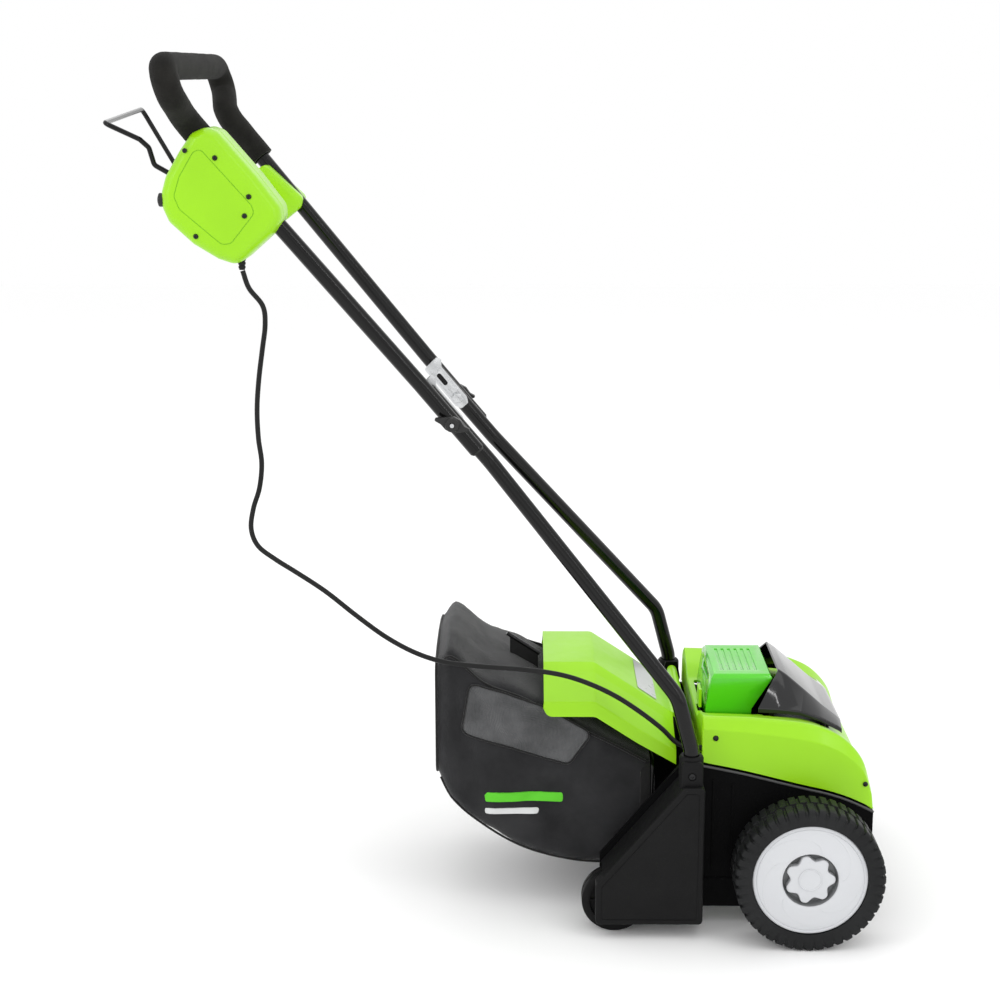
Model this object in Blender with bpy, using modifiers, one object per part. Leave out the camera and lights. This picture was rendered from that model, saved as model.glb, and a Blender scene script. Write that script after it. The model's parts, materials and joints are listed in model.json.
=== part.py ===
"""Battery-powered walk-behind lawn dethatcher with a folding handle and a rear grass bag.

Metres, +Z up, +X forward. The origin is on the ground, under the middle of the machine.
"Right" is the -Y side, as the person pushing the machine sees it. Each object is one solid piece.
"""
import math

import bmesh
import bpy
from mathutils import Matrix, Vector

# ---------------------------------------------------------------- driving dimensions
GAP = 0.0003                    # clearance between pieces that touch
RIGHT, LEFT = -1, 1             # sign of Y on each side
SIDES = (("right", RIGHT), ("left", LEFT))

# front wheels
WHEEL_R = 0.090
WHEEL_X = 0.372
WHEEL_INNER, WHEEL_OUTER = 0.190, 0.245
HUB_R = 0.069
HUB_RECESS_R = 0.034
FRONT_AXLE_R = 0.006

# rear wheels
REAR_WHEEL_R = 0.040
REAR_WHEEL_X = 0.141
REAR_WHEEL_INNER, REAR_WHEEL_OUTER = 0.167, 0.190
REAR_AXLE_R = 0.005

# chassis
DECK_HALF = 0.160
DECK_WALL = 0.008
DECK_BOTTOM = 0.020
HOOD_LIP = 0.0030               # gap between the hood's edge and the wall below it
PLATE_BOTTOM, PLATE_TOP = 0.158, 0.163
PANEL_INNER, PANEL_OUTER = 0.1603, 0.215
PANEL_WALL = 0.004

# tine rotor and drive
ROTOR_X, ROTOR_Z = 0.298, 0.080
ROTOR_R = 0.062
ROTOR_CORE_R = 0.014
TINE_COUNT = 12
MOTOR_X, MOTOR_Z = 0.385, 0.197
MOTOR_R = 0.030
BELT_Y0, BELT_Y1 = 0.130, 0.140
MOTOR_PULLEY_R, ROTOR_PULLEY_R = 0.010, 0.028
BELT_THICK = 0.003

# handle
TUBE_R = 0.0095
TUBE_WALL = 0.0015
SOCKET_X, SOCKET_Y = 0.2315, 0.190
SOCKET_BASE, SOCKET_TOP = 0.186, 0.230
PIVOT = Vector((-0.056, 0.0, 0.620))
LOWER_TUBE_Y, UPPER_TUBE_Y = 0.084, 0.104
OVERLAP = 0.045                 # each tube runs this far past the pivot
LOWER_BEND = Vector((0.214, 0.190, 0.302))
UPPER_BEND = Vector((-0.357, 0.150, 0.979))
HANDLE_CORNER = Vector((-0.374, 0.240, 1.038))
FOAM_R, FOAM_BORE = 0.016, 0.0102
GRIP_BEND_R, GRIP_SHARE = 0.038, 0.62
BOLT_R = 0.003

# dead-man bail
BAIL_R = 0.003
BAIL_Y = 0.118
BAIL_PIVOT = Vector((-0.310, 0.0, 0.885))

# switch box on the right, small box on the left
BOX_OUTER, BOX_SPLIT, BOX_INNER = 0.180, 0.150, 0.102
BOX_WALL = 0.003
LEFT_BOX_INNER, LEFT_BOX_OUTER = 0.108, 0.162

# rear flap
HINGE_X, HINGE_Z = 0.232, 0.232
HINGE_PIN_R = 0.003
FLAP_THICK = 0.003

# outlines as (x, z)
HOOD_EDGE = ((0.2478, 0.2090), (0.2850, 0.2015), (0.3127, 0.1950), (0.3698, 0.1805),
             (0.4000, 0.1735), (0.4249, 0.1655), (0.4463, 0.1560), (0.4585, 0.1497))
HOOD_SCREWS = (    # name, x, z, outer end
    ("rear", 0.2640, 0.238, 0.1565),
    ("front", 0.4480, 0.180, 0.1560))
BOX_OUTLINE = (    # anticlockwise seen from -Y
    (-0.3300, 0.9710), (-0.3470, 0.9640), (-0.3620, 0.9430), (-0.3780, 0.9160), (-0.3835, 0.8980),
    (-0.3830, 0.8800), (-0.3760, 0.8640), (-0.3490, 0.8390), (-0.3210, 0.8220), (-0.3020, 0.8158),
    (-0.2920, 0.8200), (-0.2580, 0.8500), (-0.2465, 0.8660), (-0.2480, 0.8810), (-0.2740, 0.9160),
    (-0.3170, 0.9660))
LEFT_BOX_OUTLINE = (
    (-0.3020, 0.9165), (-0.3235, 0.9025), (-0.3310, 0.8900), (-0.2980, 0.8430), (-0.2850, 0.8395),
    (-0.2580, 0.8610), (-0.2555, 0.8730))

# grass bag
BAG_STATIONS = (    # x, half width, bottom, top at the side, extra height in the middle
    (-0.078, 0.112, 0.172, 0.318, 0.012), (-0.060, 0.122, 0.140, 0.334, 0.016),
    (-0.020, 0.127, 0.106, 0.302, 0.020), (0.030, 0.128, 0.077, 0.282, 0.016),
    (0.090, 0.127, 0.060, 0.248, 0.010), (0.140, 0.125, 0.056, 0.222, 0.006),
    (0.186, 0.122, 0.058, 0.196, 0.004))

# power cable
CABLE_R = 0.003
CABLE_ROUTE = (
    (-0.2970, -0.146, 0.8063), (-0.2900, -0.147, 0.786), (-0.2745, -0.149, 0.766),
    (-0.2720, -0.151, 0.744), (-0.2760, -0.152, 0.715), (-0.2810, -0.153, 0.680),
    (-0.2840, -0.154, 0.645), (-0.2835, -0.154, 0.610), (-0.2805, -0.154, 0.580),
    (-0.2840, -0.154, 0.550), (-0.2920, -0.154, 0.525), (-0.2955, -0.154, 0.500),
    (-0.2880, -0.154, 0.479), (-0.2680, -0.155, 0.463), (-0.2420, -0.155, 0.446),
    (-0.2080, -0.156, 0.423), (-0.1700, -0.157, 0.392), (-0.1350, -0.158, 0.366),
    (-0.1000, -0.159, 0.347), (-0.0650, -0.160, 0.336), (-0.0200, -0.161, 0.331),
    (0.0250, -0.162, 0.328), (0.0700, -0.162, 0.322), (0.1050, -0.161, 0.311),
    (0.1400, -0.160, 0.294), (0.1720, -0.158, 0.272), (0.1980, -0.154, 0.250),
    (0.2150, -0.148, 0.231), (0.2295, -0.146, 0.222),
)

LIME = (0.36, 0.80, 0.02, 1)
GREEN = (0.07, 0.55, 0.03, 1)
BLACK = (0.012, 0.012, 0.012, 1)
CHARCOAL = (0.028, 0.026, 0.025, 1)
STEEL = (0.62, 0.63, 0.64, 1)
PALE = (0.72, 0.74, 0.76, 1)


# ---------------------------------------------------------------- scene helpers
def clear_scene():
    for obj in list(bpy.data.objects):
        bpy.data.objects.remove(obj, do_unlink=True)


def collection(name):
    made = bpy.data.collections.new(name)
    bpy.context.scene.collection.children.link(made)
    return made


def material(name, colour, roughness, metallic=0.0):
    made = bpy.data.materials.new(name)
    made.use_nodes = True
    shader = made.node_tree.nodes["Principled BSDF"]
    shader.inputs["Base Color"].default_value = colour
    shader.inputs["Roughness"].default_value = roughness
    shader.inputs["Metallic"].default_value = metallic
    made.diffuse_color = colour
    return made


def add_object(name, bm, mat, target=None):
    """Turns a bmesh into a named object, its faces pointing out."""
    bmesh.ops.recalc_face_normals(bm, faces=bm.faces)
    mesh = bpy.data.meshes.new(name)
    bm.to_mesh(mesh)
    bm.free()
    mesh.materials.append(mat)
    obj = bpy.data.objects.new(name, mesh)
    (target or PARTS).objects.link(obj)
    return obj


def smooth(obj, degrees=35):
    obj.data.shade_smooth()
    obj.data.set_sharp_from_angle(angle=math.radians(degrees))
    return obj


def as_cutter(obj):
    obj.hide_render = True
    obj.display_type = "WIRE"
    return obj


def boolean(obj, other, operation="DIFFERENCE"):
    step = obj.modifiers.new(operation.title(), "BOOLEAN")
    step.operation = operation
    step.solver = "EXACT"
    step.object = other
    return obj


def bevel(obj, width, segments=2, degrees=40):
    step = obj.modifiers.new("Bevel", "BEVEL")
    step.width = width
    step.segments = segments
    step.limit_method = "ANGLE"
    step.angle_limit = math.radians(degrees)
    return obj


# ---------------------------------------------------------------- shape helpers
def prism(name, outline, y0, y1, mat, target=None):
    """A flat outline of (x, z) points, given thickness from y0 to y1."""
    bm = bmesh.new()
    face = bm.faces.new([bm.verts.new((x, y0, z)) for x, z in outline])
    side = bmesh.ops.extrude_face_region(bm, geom=[face])
    moved = [v for v in side["geom"] if isinstance(v, bmesh.types.BMVert)]
    bmesh.ops.translate(bm, verts=moved, vec=(0, y1 - y0, 0))
    return add_object(name, bm, mat, target)


def cylinder(name, start, end, radius, mat, target=None, segments=24, end_radius=None):
    start, end = Vector(start), Vector(end)
    along = end - start
    turn = along.to_track_quat("Z", "Y").to_matrix().to_4x4()
    place = Matrix.Translation((start + end) / 2) @ turn
    bm = bmesh.new()
    bmesh.ops.create_cone(
        bm, cap_ends=True, segments=segments, radius1=radius,
        radius2=radius if end_radius is None else end_radius, depth=along.length, matrix=place)
    return smooth(add_object(name, bm, mat, target))


def box(name, low, high, mat, target=None):
    low, high = Vector(low), Vector(high)
    bm = bmesh.new()
    bmesh.ops.create_cube(bm, size=1)
    bmesh.ops.scale(bm, vec=high - low, verts=bm.verts)
    bmesh.ops.translate(bm, vec=(low + high) / 2, verts=bm.verts)
    return add_object(name, bm, mat, target)


def turned(name, profile, centre, side, mat, segments=40, target=None):
    """A ring turned about a Y axis: closed profile of (radius, distance from the middle plane)."""
    bm = bmesh.new()
    loop = [bm.verts.new((centre[0] + r, side * y, centre[1])) for r, y in profile]
    edges = [bm.edges.new((a, b)) for a, b in zip(loop, loop[1:] + loop[:1])]
    bmesh.ops.spin(bm, geom=loop + edges, cent=(centre[0], 0, centre[1]), axis=(0, 1, 0),
                   angle=2 * math.pi, steps=segments, use_merge=True)
    return smooth(add_object(name, bm, mat, target))


def loft(name, loops, mat, target=None):
    """A solid through closed loops that have the same number of points."""
    bm = bmesh.new()
    rings = [[bm.verts.new(p) for p in loop] for loop in loops]
    for low, high in zip(rings, rings[1:]):
        for i in range(len(low)):
            j = (i + 1) % len(low)
            bm.faces.new((low[i], low[j], high[j], high[i]))
    bm.faces.new(rings[0])
    bm.faces.new(rings[-1])
    return add_object(name, bm, mat, target)


def shell(name, rows, thickness, mat):
    """An open sheet through rows of points, made solid inwards."""
    bm = bmesh.new()
    grid = [[bm.verts.new(p) for p in row] for row in rows]
    for a, b in zip(grid, grid[1:]):
        for i in range(len(a) - 1):
            bm.faces.new((a[i], a[i + 1], b[i + 1], b[i]))
    bmesh.ops.remove_doubles(bm, verts=bm.verts, dist=0.00001)
    bmesh.ops.recalc_face_normals(bm, faces=bm.faces)
    top = max(bm.faces, key=lambda f: f.calc_center_median().z)
    if top.normal.z < 0:
        bmesh.ops.reverse_faces(bm, faces=bm.faces)
    mesh = bpy.data.meshes.new(name)
    bm.to_mesh(mesh)
    bm.free()
    mesh.materials.append(mat)
    obj = bpy.data.objects.new(name, mesh)
    PARTS.objects.link(obj)
    step = obj.modifiers.new("Solidify", "SOLIDIFY")
    step.thickness = thickness
    step.offset = -1
    step.use_even_offset = True
    obj.modifiers.new("Triangulate", "TRIANGULATE")
    return smooth(obj, 30)


def inset(outline, distance):
    """The outline moved inwards by a distance. Its points run anticlockwise seen from -Y."""
    moved = []
    count = len(outline)
    for i in range(count):
        before, here, after = (Vector(outline[(i + k) % count]) for k in (-1, 0, 1))
        a, b = (here - before).normalized(), (after - here).normalized()
        left_a, left_b = Vector((-a.y, a.x)), Vector((-b.y, b.x))
        mitre = (left_a + left_b).normalized()
        moved.append(tuple(here + mitre * distance / max(mitre.dot(left_a), 0.3)))
    return moved


def rounded_path(points, radius, steps=4, share=0.45):
    """Straight runs joined by arcs, each taking at most this share of the run beside it."""
    points = [Vector(p) for p in points]
    path = [points[0]]
    for before, here, after in zip(points, points[1:], points[2:]):
        a, b = (before - here).normalized(), (after - here).normalized()
        half = a.angle(b) / 2
        if math.pi / 2 - half < 0.01:
            path.append(here)
            continue
        reach = min(radius / math.tan(half), share * (before - here).length,
                    share * (after - here).length)
        bend = reach * math.tan(half)
        middle = here + (a + b).normalized() * bend / math.sin(half)
        start, end = here + a * reach - middle, here + b * reach - middle
        sweep = start.angle(end)
        for k in range(steps + 1):
            turn = sweep * k / steps
            path.append(middle + (start * math.sin(sweep - turn) + end * math.sin(turn)) / math.sin(sweep))
    path.append(points[-1])
    return path


def smooth_path(points, per_span=3):
    """A smooth curve through the route's own points."""
    points = [Vector(p) for p in points]
    ends = [2 * points[0] - points[1]] + points + [2 * points[-1] - points[-2]]
    path = []
    for p0, p1, p2, p3 in zip(ends, ends[1:], ends[2:], ends[3:]):
        for k in range(per_span):
            t = k / per_span
            path.append(0.5 * (2 * p1 + (p2 - p0) * t + (2 * p0 - 5 * p1 + 4 * p2 - p3) * t * t
                               + (3 * p1 - p0 - 3 * p2 + p3) * t ** 3))
    path.append(points[-1])
    return path


def tube(name, path, radius, mat, resolution=4, target=None):
    """A round tube along a path, as a mesh with welded end caps."""
    curve = bpy.data.curves.new(name, "CURVE")
    curve.dimensions = "3D"
    curve.bevel_depth = radius
    curve.bevel_resolution = resolution
    curve.use_fill_caps = True
    spline = curve.splines.new("POLY")
    spline.points.add(len(path) - 1)
    for point, place in zip(spline.points, path):
        point.co = (*place, 1)
    guide = bpy.data.objects.new(name + "_guide", curve)
    PARTS.objects.link(guide)
    bpy.context.view_layer.update()
    graph = bpy.context.evaluated_depsgraph_get()
    mesh = bpy.data.meshes.new_from_object(guide.evaluated_get(graph))
    bpy.data.objects.remove(guide, do_unlink=True)
    bm = bmesh.new()
    bm.from_mesh(mesh)
    bpy.data.meshes.remove(mesh)
    bmesh.ops.remove_doubles(bm, verts=bm.verts, dist=0.00001)
    return smooth(add_object(name, bm, mat, target), 60)


def hollow(name, path, radius, bore, mat, resolution=4):
    """A round sleeve along a path, open at both ends."""
    sleeve = tube(name, path, radius, mat, resolution)
    start = path[0] + (path[0] - path[1]).normalized() * 0.010
    end = path[-1] + (path[-1] - path[-2]).normalized() * 0.010
    line = [start] + path[1:-1] + [end]
    boolean(sleeve, as_cutter(tube("cut_bore_" + name, line, bore, METAL, resolution, CUTTERS)))
    return sleeve


def at_side(point, side):
    return Vector((point[0], side * abs(point[1]), point[2]))


# ---------------------------------------------------------------- wheels and axles
def front_wheel(label, side):
    wall = 0.0025
    inner, outer = WHEEL_INNER, WHEEL_OUTER
    turned("tyre_" + label, [
        (HUB_R + GAP, inner + 0.004), (WHEEL_R - 0.006, inner), (WHEEL_R, inner + 0.008),
        (WHEEL_R, outer - 0.008), (WHEEL_R - 0.006, outer), (HUB_R + GAP, outer - 0.003)],
        (WHEEL_X, WHEEL_R), side, RUBBER, 40)
    face = outer - 0.006
    floor = face - 0.012
    bore = FRONT_AXLE_R + GAP
    turned("wheel_hub_" + label, [
        (bore, inner + 0.012), (0.020, inner + 0.012), (0.024, floor - wall), (HUB_R - 0.012, floor - wall),
        (HUB_R - 0.004, inner + 0.004), (HUB_R, inner + 0.004), (HUB_R, face), (HUB_RECESS_R, face + 0.002),
        (HUB_RECESS_R - 0.002, floor), (bore, floor)],
        (WHEEL_X, WHEEL_R), side, WHITE_PLASTIC, 32)
    lobes, points = 7, 42
    star = []
    for i in range(points):
        turn = 2 * math.pi * i / points
        radius = 0.0275 + 0.0030 * math.cos(lobes * turn)
        star.append((WHEEL_X + radius * math.cos(turn), WHEEL_R + radius * math.sin(turn)))
    prism("hub_cap_" + label, star, side * (floor + GAP), side * (face - 0.001), WHITE_PLASTIC)


def rear_wheel(label, side):
    bore = REAR_AXLE_R + GAP
    turned("rear_wheel_" + label, [
        (bore, REAR_WHEEL_INNER), (REAR_WHEEL_R - 0.003, REAR_WHEEL_INNER),
        (REAR_WHEEL_R, REAR_WHEEL_INNER + 0.003), (REAR_WHEEL_R, REAR_WHEEL_OUTER - 0.003),
        (REAR_WHEEL_R - 0.003, REAR_WHEEL_OUTER), (bore, REAR_WHEEL_OUTER)],
        (REAR_WHEEL_X, REAR_WHEEL_R), side, BLACK_PLASTIC, 24)


def axles():
    reach = WHEEL_OUTER - 0.019
    cylinder("front_axle", (WHEEL_X, -reach, WHEEL_R), (WHEEL_X, reach, WHEEL_R), FRONT_AXLE_R, METAL)
    reach = REAR_WHEEL_OUTER + 0.002
    cylinder("rear_axle", (REAR_WHEEL_X, -reach, REAR_WHEEL_R), (REAR_WHEEL_X, reach, REAR_WHEEL_R),
             REAR_AXLE_R, METAL)


# ---------------------------------------------------------------- chassis


def deck_housing():
    """Black lower body: a drive bay on top, the tine chamber below, open to the ground and the bag."""
    top = [(x, z - HOOD_LIP) for x, z in reversed(HOOD_EDGE)]
    outline = [(0.124, DECK_BOTTOM), (0.330, DECK_BOTTOM), (0.4585, 0.062)] + top + [(0.222, 0.2060),
               (0.124, 0.088)]
    deck = prism("deck_housing", outline, -DECK_HALF, DECK_HALF, BLACK_PLASTIC)
    inner = DECK_HALF - DECK_WALL
    chamber = prism("cut_chamber", [
        (0.100, 0.000), (0.4500, 0.000), (0.4500, 0.150), (0.4420, PLATE_BOTTOM), (0.2320, PLATE_BOTTOM),
        (0.2300, 0.230), (0.100, 0.230)], -inner, inner, METAL, CUTTERS)
    bay = prism("cut_bay", [(0.2360, PLATE_TOP), (0.4500, PLATE_TOP), (0.4500, 0.300), (0.2360, 0.300)],
                -inner, inner, METAL, CUTTERS)
    slot = box("cut_belt_slot", (0.290, BELT_Y0 - 0.003, 0.150), (0.415, BELT_Y1 + 0.003, 0.170),
               METAL, CUTTERS)
    reach = DECK_HALF + 0.01
    front_bore = cylinder("cut_front_axle", (WHEEL_X, -reach, WHEEL_R), (WHEEL_X, reach, WHEEL_R),
                          FRONT_AXLE_R + GAP, METAL, CUTTERS)
    rear_bore = cylinder("cut_rear_axle", (REAR_WHEEL_X, -reach, REAR_WHEEL_R),
                         (REAR_WHEEL_X, reach, REAR_WHEEL_R), REAR_AXLE_R + GAP, METAL, CUTTERS)
    for cutter in (chamber, bay, slot, front_bore, rear_bore):
        boolean(deck, as_cutter(cutter))
    pin_bore = cylinder("cut_hinge_pin", (HINGE_X, -0.20, HINGE_Z), (HINGE_X, 0.20, HINGE_Z),
                        HINGE_PIN_R + GAP, METAL, CUTTERS, 16)
    for label, side in SIDES:
        lug = prism("join_lug_" + label, [(0.2300, 0.195), (0.2360, 0.195), (0.2440, 0.2200),
                    (0.2400, 0.2420), (0.2240, 0.2420), (0.2210, 0.2300)],
                    side * 0.1365, side * 0.1400, METAL, CUTTERS)
        boolean(deck, as_cutter(lug), "UNION")
    boolean(deck, as_cutter(pin_bore))
    return deck


def side_panel(label, side):
    """Hollow black fender over a rear wheel, with the handle's socket on top."""
    outline = [(0.117, DECK_BOTTOM), (0.247, DECK_BOTTOM), (0.247, 0.196), (0.222, 0.196), (0.117, 0.071)]
    panel = prism("side_panel_" + label, outline, side * PANEL_INNER, side * PANEL_OUTER, BLACK_PLASTIC)
    bevel(panel, 0.003, 2)
    pocket = prism("cut_pocket_" + label, inset(outline, PANEL_WALL), side * 0.150,
                   side * (PANEL_OUTER - PANEL_WALL), METAL, CUTTERS)
    wheel = cylinder("cut_wheel_" + label, (REAR_WHEEL_X, side * 0.150, REAR_WHEEL_R),
                     (REAR_WHEEL_X, side * (REAR_WHEEL_OUTER + 0.004), REAR_WHEEL_R),
                     REAR_WHEEL_R + 0.004, METAL, CUTTERS, 32)
    socket = cylinder("join_socket_" + label, (SOCKET_X, side * SOCKET_Y, SOCKET_BASE),
                      (SOCKET_X, side * SOCKET_Y, SOCKET_TOP), 0.0148, METAL, CUTTERS)
    bore = cylinder("cut_socket_" + label, (SOCKET_X, side * SOCKET_Y, SOCKET_BASE + 0.004),
                    (SOCKET_X, side * SOCKET_Y, SOCKET_TOP + 0.010), TUBE_R + GAP, METAL, CUTTERS)
    boolean(panel, as_cutter(pocket))
    boolean(panel, as_cutter(wheel))
    boolean(panel, as_cutter(socket), "UNION")
    boolean(panel, as_cutter(bore))


def top_hood():
    """Lime cover with raised shoulders, a battery opening and a seat for the fairing."""
    shoulder = (0.2626, 0.2615, 0.2604, 0.2544, 0.2460, 0.2320, 0.2067)
    middle = (0.2400, 0.2390, 0.2380, 0.2370, 0.2290, 0.2170, 0.1960)
    columns = (0.160, 0.154, 0.142, 0.100, 0.072)

    def row(x, heights):
        near = [(x, -y, z) for y, z in zip(columns, heights)]
        return near + [(px, -py, pz) for px, py, pz in reversed(near)]

    rows = [row(HOOD_EDGE[0][0], [HOOD_EDGE[0][1]] * 5)]
    for (x, low), high, mid in zip(HOOD_EDGE, shoulder, middle):
        rows.append(row(x, [low, low + 0.75 * (high - low), high, high - 0.011, mid]))
    front_x, front_z = HOOD_EDGE[-1]
    rows.append(row(front_x - 0.0015, [front_z, 0.165, 0.1720, 0.1700, 0.1680]))
    rows.append(row(front_x, [front_z] * 5))
    hood = shell("top_hood", rows, 0.003, LIME_PLASTIC)
    half = [(0.2555, 0.0665), (0.3320, 0.0665), (0.3320, 0.0850), (0.4150, 0.0850)]
    plan = [(x, -y) for x, y in half] + [(x, y) for x, y in reversed(half)]
    opening = loft("cut_hood_opening", [[(x, y, z) for x, y in plan] for z in (0.185, 0.300)], METAL, CUTTERS)
    boolean(hood, as_cutter(opening))
    release = box("cut_release", (0.2510, -0.0583, 0.230), (0.2560, -0.0317, 0.290), METAL, CUTTERS)
    boolean(hood, as_cutter(release))
    gland = cylinder("cut_gland", (0.235, -0.146, 0.222), (0.270, -0.146, 0.222), 0.0043, METAL, CUTTERS, 16)
    boolean(hood, as_cutter(gland))
    for label, x, z, outer in HOOD_SCREWS:
        for word, side in SIDES:
            hole = cylinder(f"cut_screw_{label}_{word}", (x, side * 0.120, z), (x, side * 0.175, z),
                            0.0033, METAL, CUTTERS, 12)
            boolean(hood, as_cutter(hole))
            cylinder(f"hood_screw_{label}_{word}", (x, side * (outer - 0.012), z), (x, side * outer, z),
                     0.0030, BLACK_METAL, None, 12)
    return hood


def front_fairing():
    """Piano-black cap in front of the battery, faceted, standing just above the hood."""
    base = ((0.3225, 0.2560), (0.3450, 0.2550), (0.3769, 0.2520), (0.4020, 0.2435), (0.4240, 0.2320),
            (0.4275, 0.2290))
    ridge = ((0.3510, 0.2955), (0.3620, 0.2880), (0.3870, 0.2665), (0.4080, 0.2480), (0.4275, 0.2330),
             (0.4310, 0.2295))
    rows = []
    for (xb, zb), (xt, zt) in zip(base, ridge):
        rows.append([(xb, -0.095, zb), (xt, -0.060, zt), (xt, 0.060, zt), (xb, 0.095, zb)])
    return shell("front_fairing", rows, 0.0025, GLOSS_BLACK)


def battery():
    """Removable pack, wedge-ended, its foot in the drive bay."""
    loops = []
    for x0, x1, half, z in ((0.2640, 0.3140, 0.0600, 0.1765), (0.2600, 0.3180, 0.0630, 0.2440),
                            (0.2665, 0.3430, 0.0650, 0.2850), (0.2700, 0.3400, 0.0610, 0.2900)):
        loops.append([(x0, -half, z), (x1, -half, z), (x1, half, z), (x0, half, z)])
    pack = loft("battery_pack", loops, GREEN_PLASTIC)
    grip = box("cut_grip", (0.2400, -0.030, 0.2710), (0.2700, 0.030, 0.2800), METAL, CUTTERS)
    boolean(pack, as_cutter(grip))
    box("battery_dock", (0.2660, -0.030, PLATE_TOP + GAP), (0.3120, 0.030, 0.1762), BLACK_PLASTIC)
    box("battery_release", (0.2513, -0.0580, 0.2440), (0.2552, -0.0320, 0.2680), LIME_PLASTIC)


def drive():
    """Motor in the bay, a belt down to the tine rotor, and the rotor's bearings."""
    cylinder("motor", (MOTOR_X, -0.050, MOTOR_Z), (MOTOR_X, 0.060, MOTOR_Z), MOTOR_R, METAL)
    shaft_r = 0.005
    pulley = cylinder("motor_pulley", (MOTOR_X, BELT_Y0, MOTOR_Z), (MOTOR_X, BELT_Y1 + 0.002, MOTOR_Z),
                      MOTOR_PULLEY_R, METAL)
    shaft = cylinder("join_motor_shaft", (MOTOR_X, 0.0603, MOTOR_Z), (MOTOR_X, BELT_Y0 + 0.004, MOTOR_Z),
                     shaft_r, METAL, CUTTERS, 16)
    boolean(pulley, as_cutter(shaft), "UNION")
    cylinder("rotor_pulley", (ROTOR_X, BELT_Y0, ROTOR_Z), (ROTOR_X, BELT_Y1 + 0.002, ROTOR_Z),
             ROTOR_PULLEY_R, METAL, None, 32)
    bore = cylinder("cut_rotor_pulley", (ROTOR_X, 0.120, ROTOR_Z), (ROTOR_X, 0.150, ROTOR_Z),
                    0.007 + GAP, METAL, CUTTERS, 20)
    boolean(bpy.data.objects["rotor_pulley"], as_cutter(bore))
    belt = prism("drive_belt", belt_outline(BELT_THICK + GAP), BELT_Y0 + 0.001, BELT_Y1 - 0.001, RUBBER)
    loop = prism("cut_belt", belt_outline(GAP), BELT_Y0 - 0.005, BELT_Y1 + 0.005, METAL, CUTTERS)
    boolean(belt, as_cutter(loop))
    for label, side in SIDES:
        turned("rotor_bearing_" + label, [
            (0.0073, 0.1448), (0.0140, 0.1448), (0.0140, 0.1517), (0.0073, 0.1517)],
            (ROTOR_X, ROTOR_Z), side, METAL, 24)


def belt_outline(offset):
    """A loop round both pulleys, this far outside them."""
    run = Vector((MOTOR_X - ROTOR_X, MOTOR_Z - ROTOR_Z))
    heading = math.atan2(run.y, run.x)
    lean = math.acos((ROTOR_PULLEY_R - MOTOR_PULLEY_R) / run.length)
    points = []
    for centre, radius, first, last, steps in (
            ((MOTOR_X, MOTOR_Z), MOTOR_PULLEY_R, heading - lean, heading + lean, 8),
            ((ROTOR_X, ROTOR_Z), ROTOR_PULLEY_R, heading + lean, heading - lean + 2 * math.pi, 20)):
        reach = (radius + offset) / math.cos((last - first) / steps / 2)
        for k in range(steps + 1):
            turn = first + (last - first) * k / steps
            points.append((centre[0] + reach * math.cos(turn), centre[1] + reach * math.sin(turn)))
    return points


def tine_rotor():
    """Shaft with spring tines set in a spiral."""
    rotor = cylinder("tine_rotor", (ROTOR_X, -0.124, ROTOR_Z), (ROTOR_X, 0.124, ROTOR_Z), ROTOR_CORE_R,
                     METAL)
    shaft = cylinder("join_rotor_shaft", (ROTOR_X, -0.151, ROTOR_Z), (ROTOR_X, 0.151, ROTOR_Z), 0.007,
                     METAL, CUTTERS, 20)
    boolean(rotor, as_cutter(shaft), "UNION")
    bm = bmesh.new()
    length = ROTOR_R - ROTOR_CORE_R + 0.006
    for i in range(TINE_COUNT):
        turn = Matrix.Rotation(2 * math.pi * i * 5 / TINE_COUNT, 4, "Y")
        y = -0.112 + 0.224 * i / (TINE_COUNT - 1)
        shift = Matrix.Translation((ROTOR_X, y, ROTOR_Z))
        reach = Matrix.Translation((0, 0, ROTOR_R - length / 2 - 0.001))
        size = Matrix.Diagonal((0.004, 0.003, length, 1))
        bmesh.ops.create_cube(bm, size=1, matrix=shift @ turn @ reach @ size)
    tines = add_object("join_tines", bm, METAL, CUTTERS)
    boolean(rotor, as_cutter(tines), "UNION")


# ---------------------------------------------------------------- rear flap and bag
def rear_flap():
    """Lime cover over the bag's mouth, hinged at its front end."""
    columns = ((0.135, -0.049), (0.133, -0.031), (0.080, -0.009), (0.067, 0.0))
    rows = []
    for x, top, drop in ((0.0545, 0.307, 0.0), (0.1180, 0.307, 0.0), (0.1700, 0.2730, 0.0),
                         (0.2050, 0.2490, 0.004), (0.2180, 0.2395, 0.006)):
        near = [(x, -y, top + z + (drop if z < -0.02 else 0)) for y, z in columns]
        rows.append(near + [(px, -py, pz) for px, py, pz in reversed(near)])
    flap = shell("rear_flap", rows, FLAP_THICK, LIME_PLASTIC)
    barrel = cylinder("join_barrel", (HINGE_X, -0.1340, HINGE_Z), (HINGE_X, 0.1340, HINGE_Z), 0.0065,
                      METAL, CUTTERS, 20)
    web = prism("join_web", [(0.2130, 0.2360), (0.2320, 0.2290), (0.2330, 0.2340), (0.2160, 0.2405)],
                -0.066, 0.066, METAL, CUTTERS)
    bore = cylinder("cut_barrel", (HINGE_X, -0.20, HINGE_Z), (HINGE_X, 0.20, HINGE_Z),
                    HINGE_PIN_R + GAP, METAL, CUTTERS, 16)
    boolean(flap, as_cutter(web), "UNION")
    boolean(flap, as_cutter(barrel), "UNION")
    boolean(flap, as_cutter(bore))
    cylinder("flap_hinge_pin", (HINGE_X, -0.1420, HINGE_Z), (HINGE_X, 0.1420, HINGE_Z), HINGE_PIN_R,
             METAL, None, 16)


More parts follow.
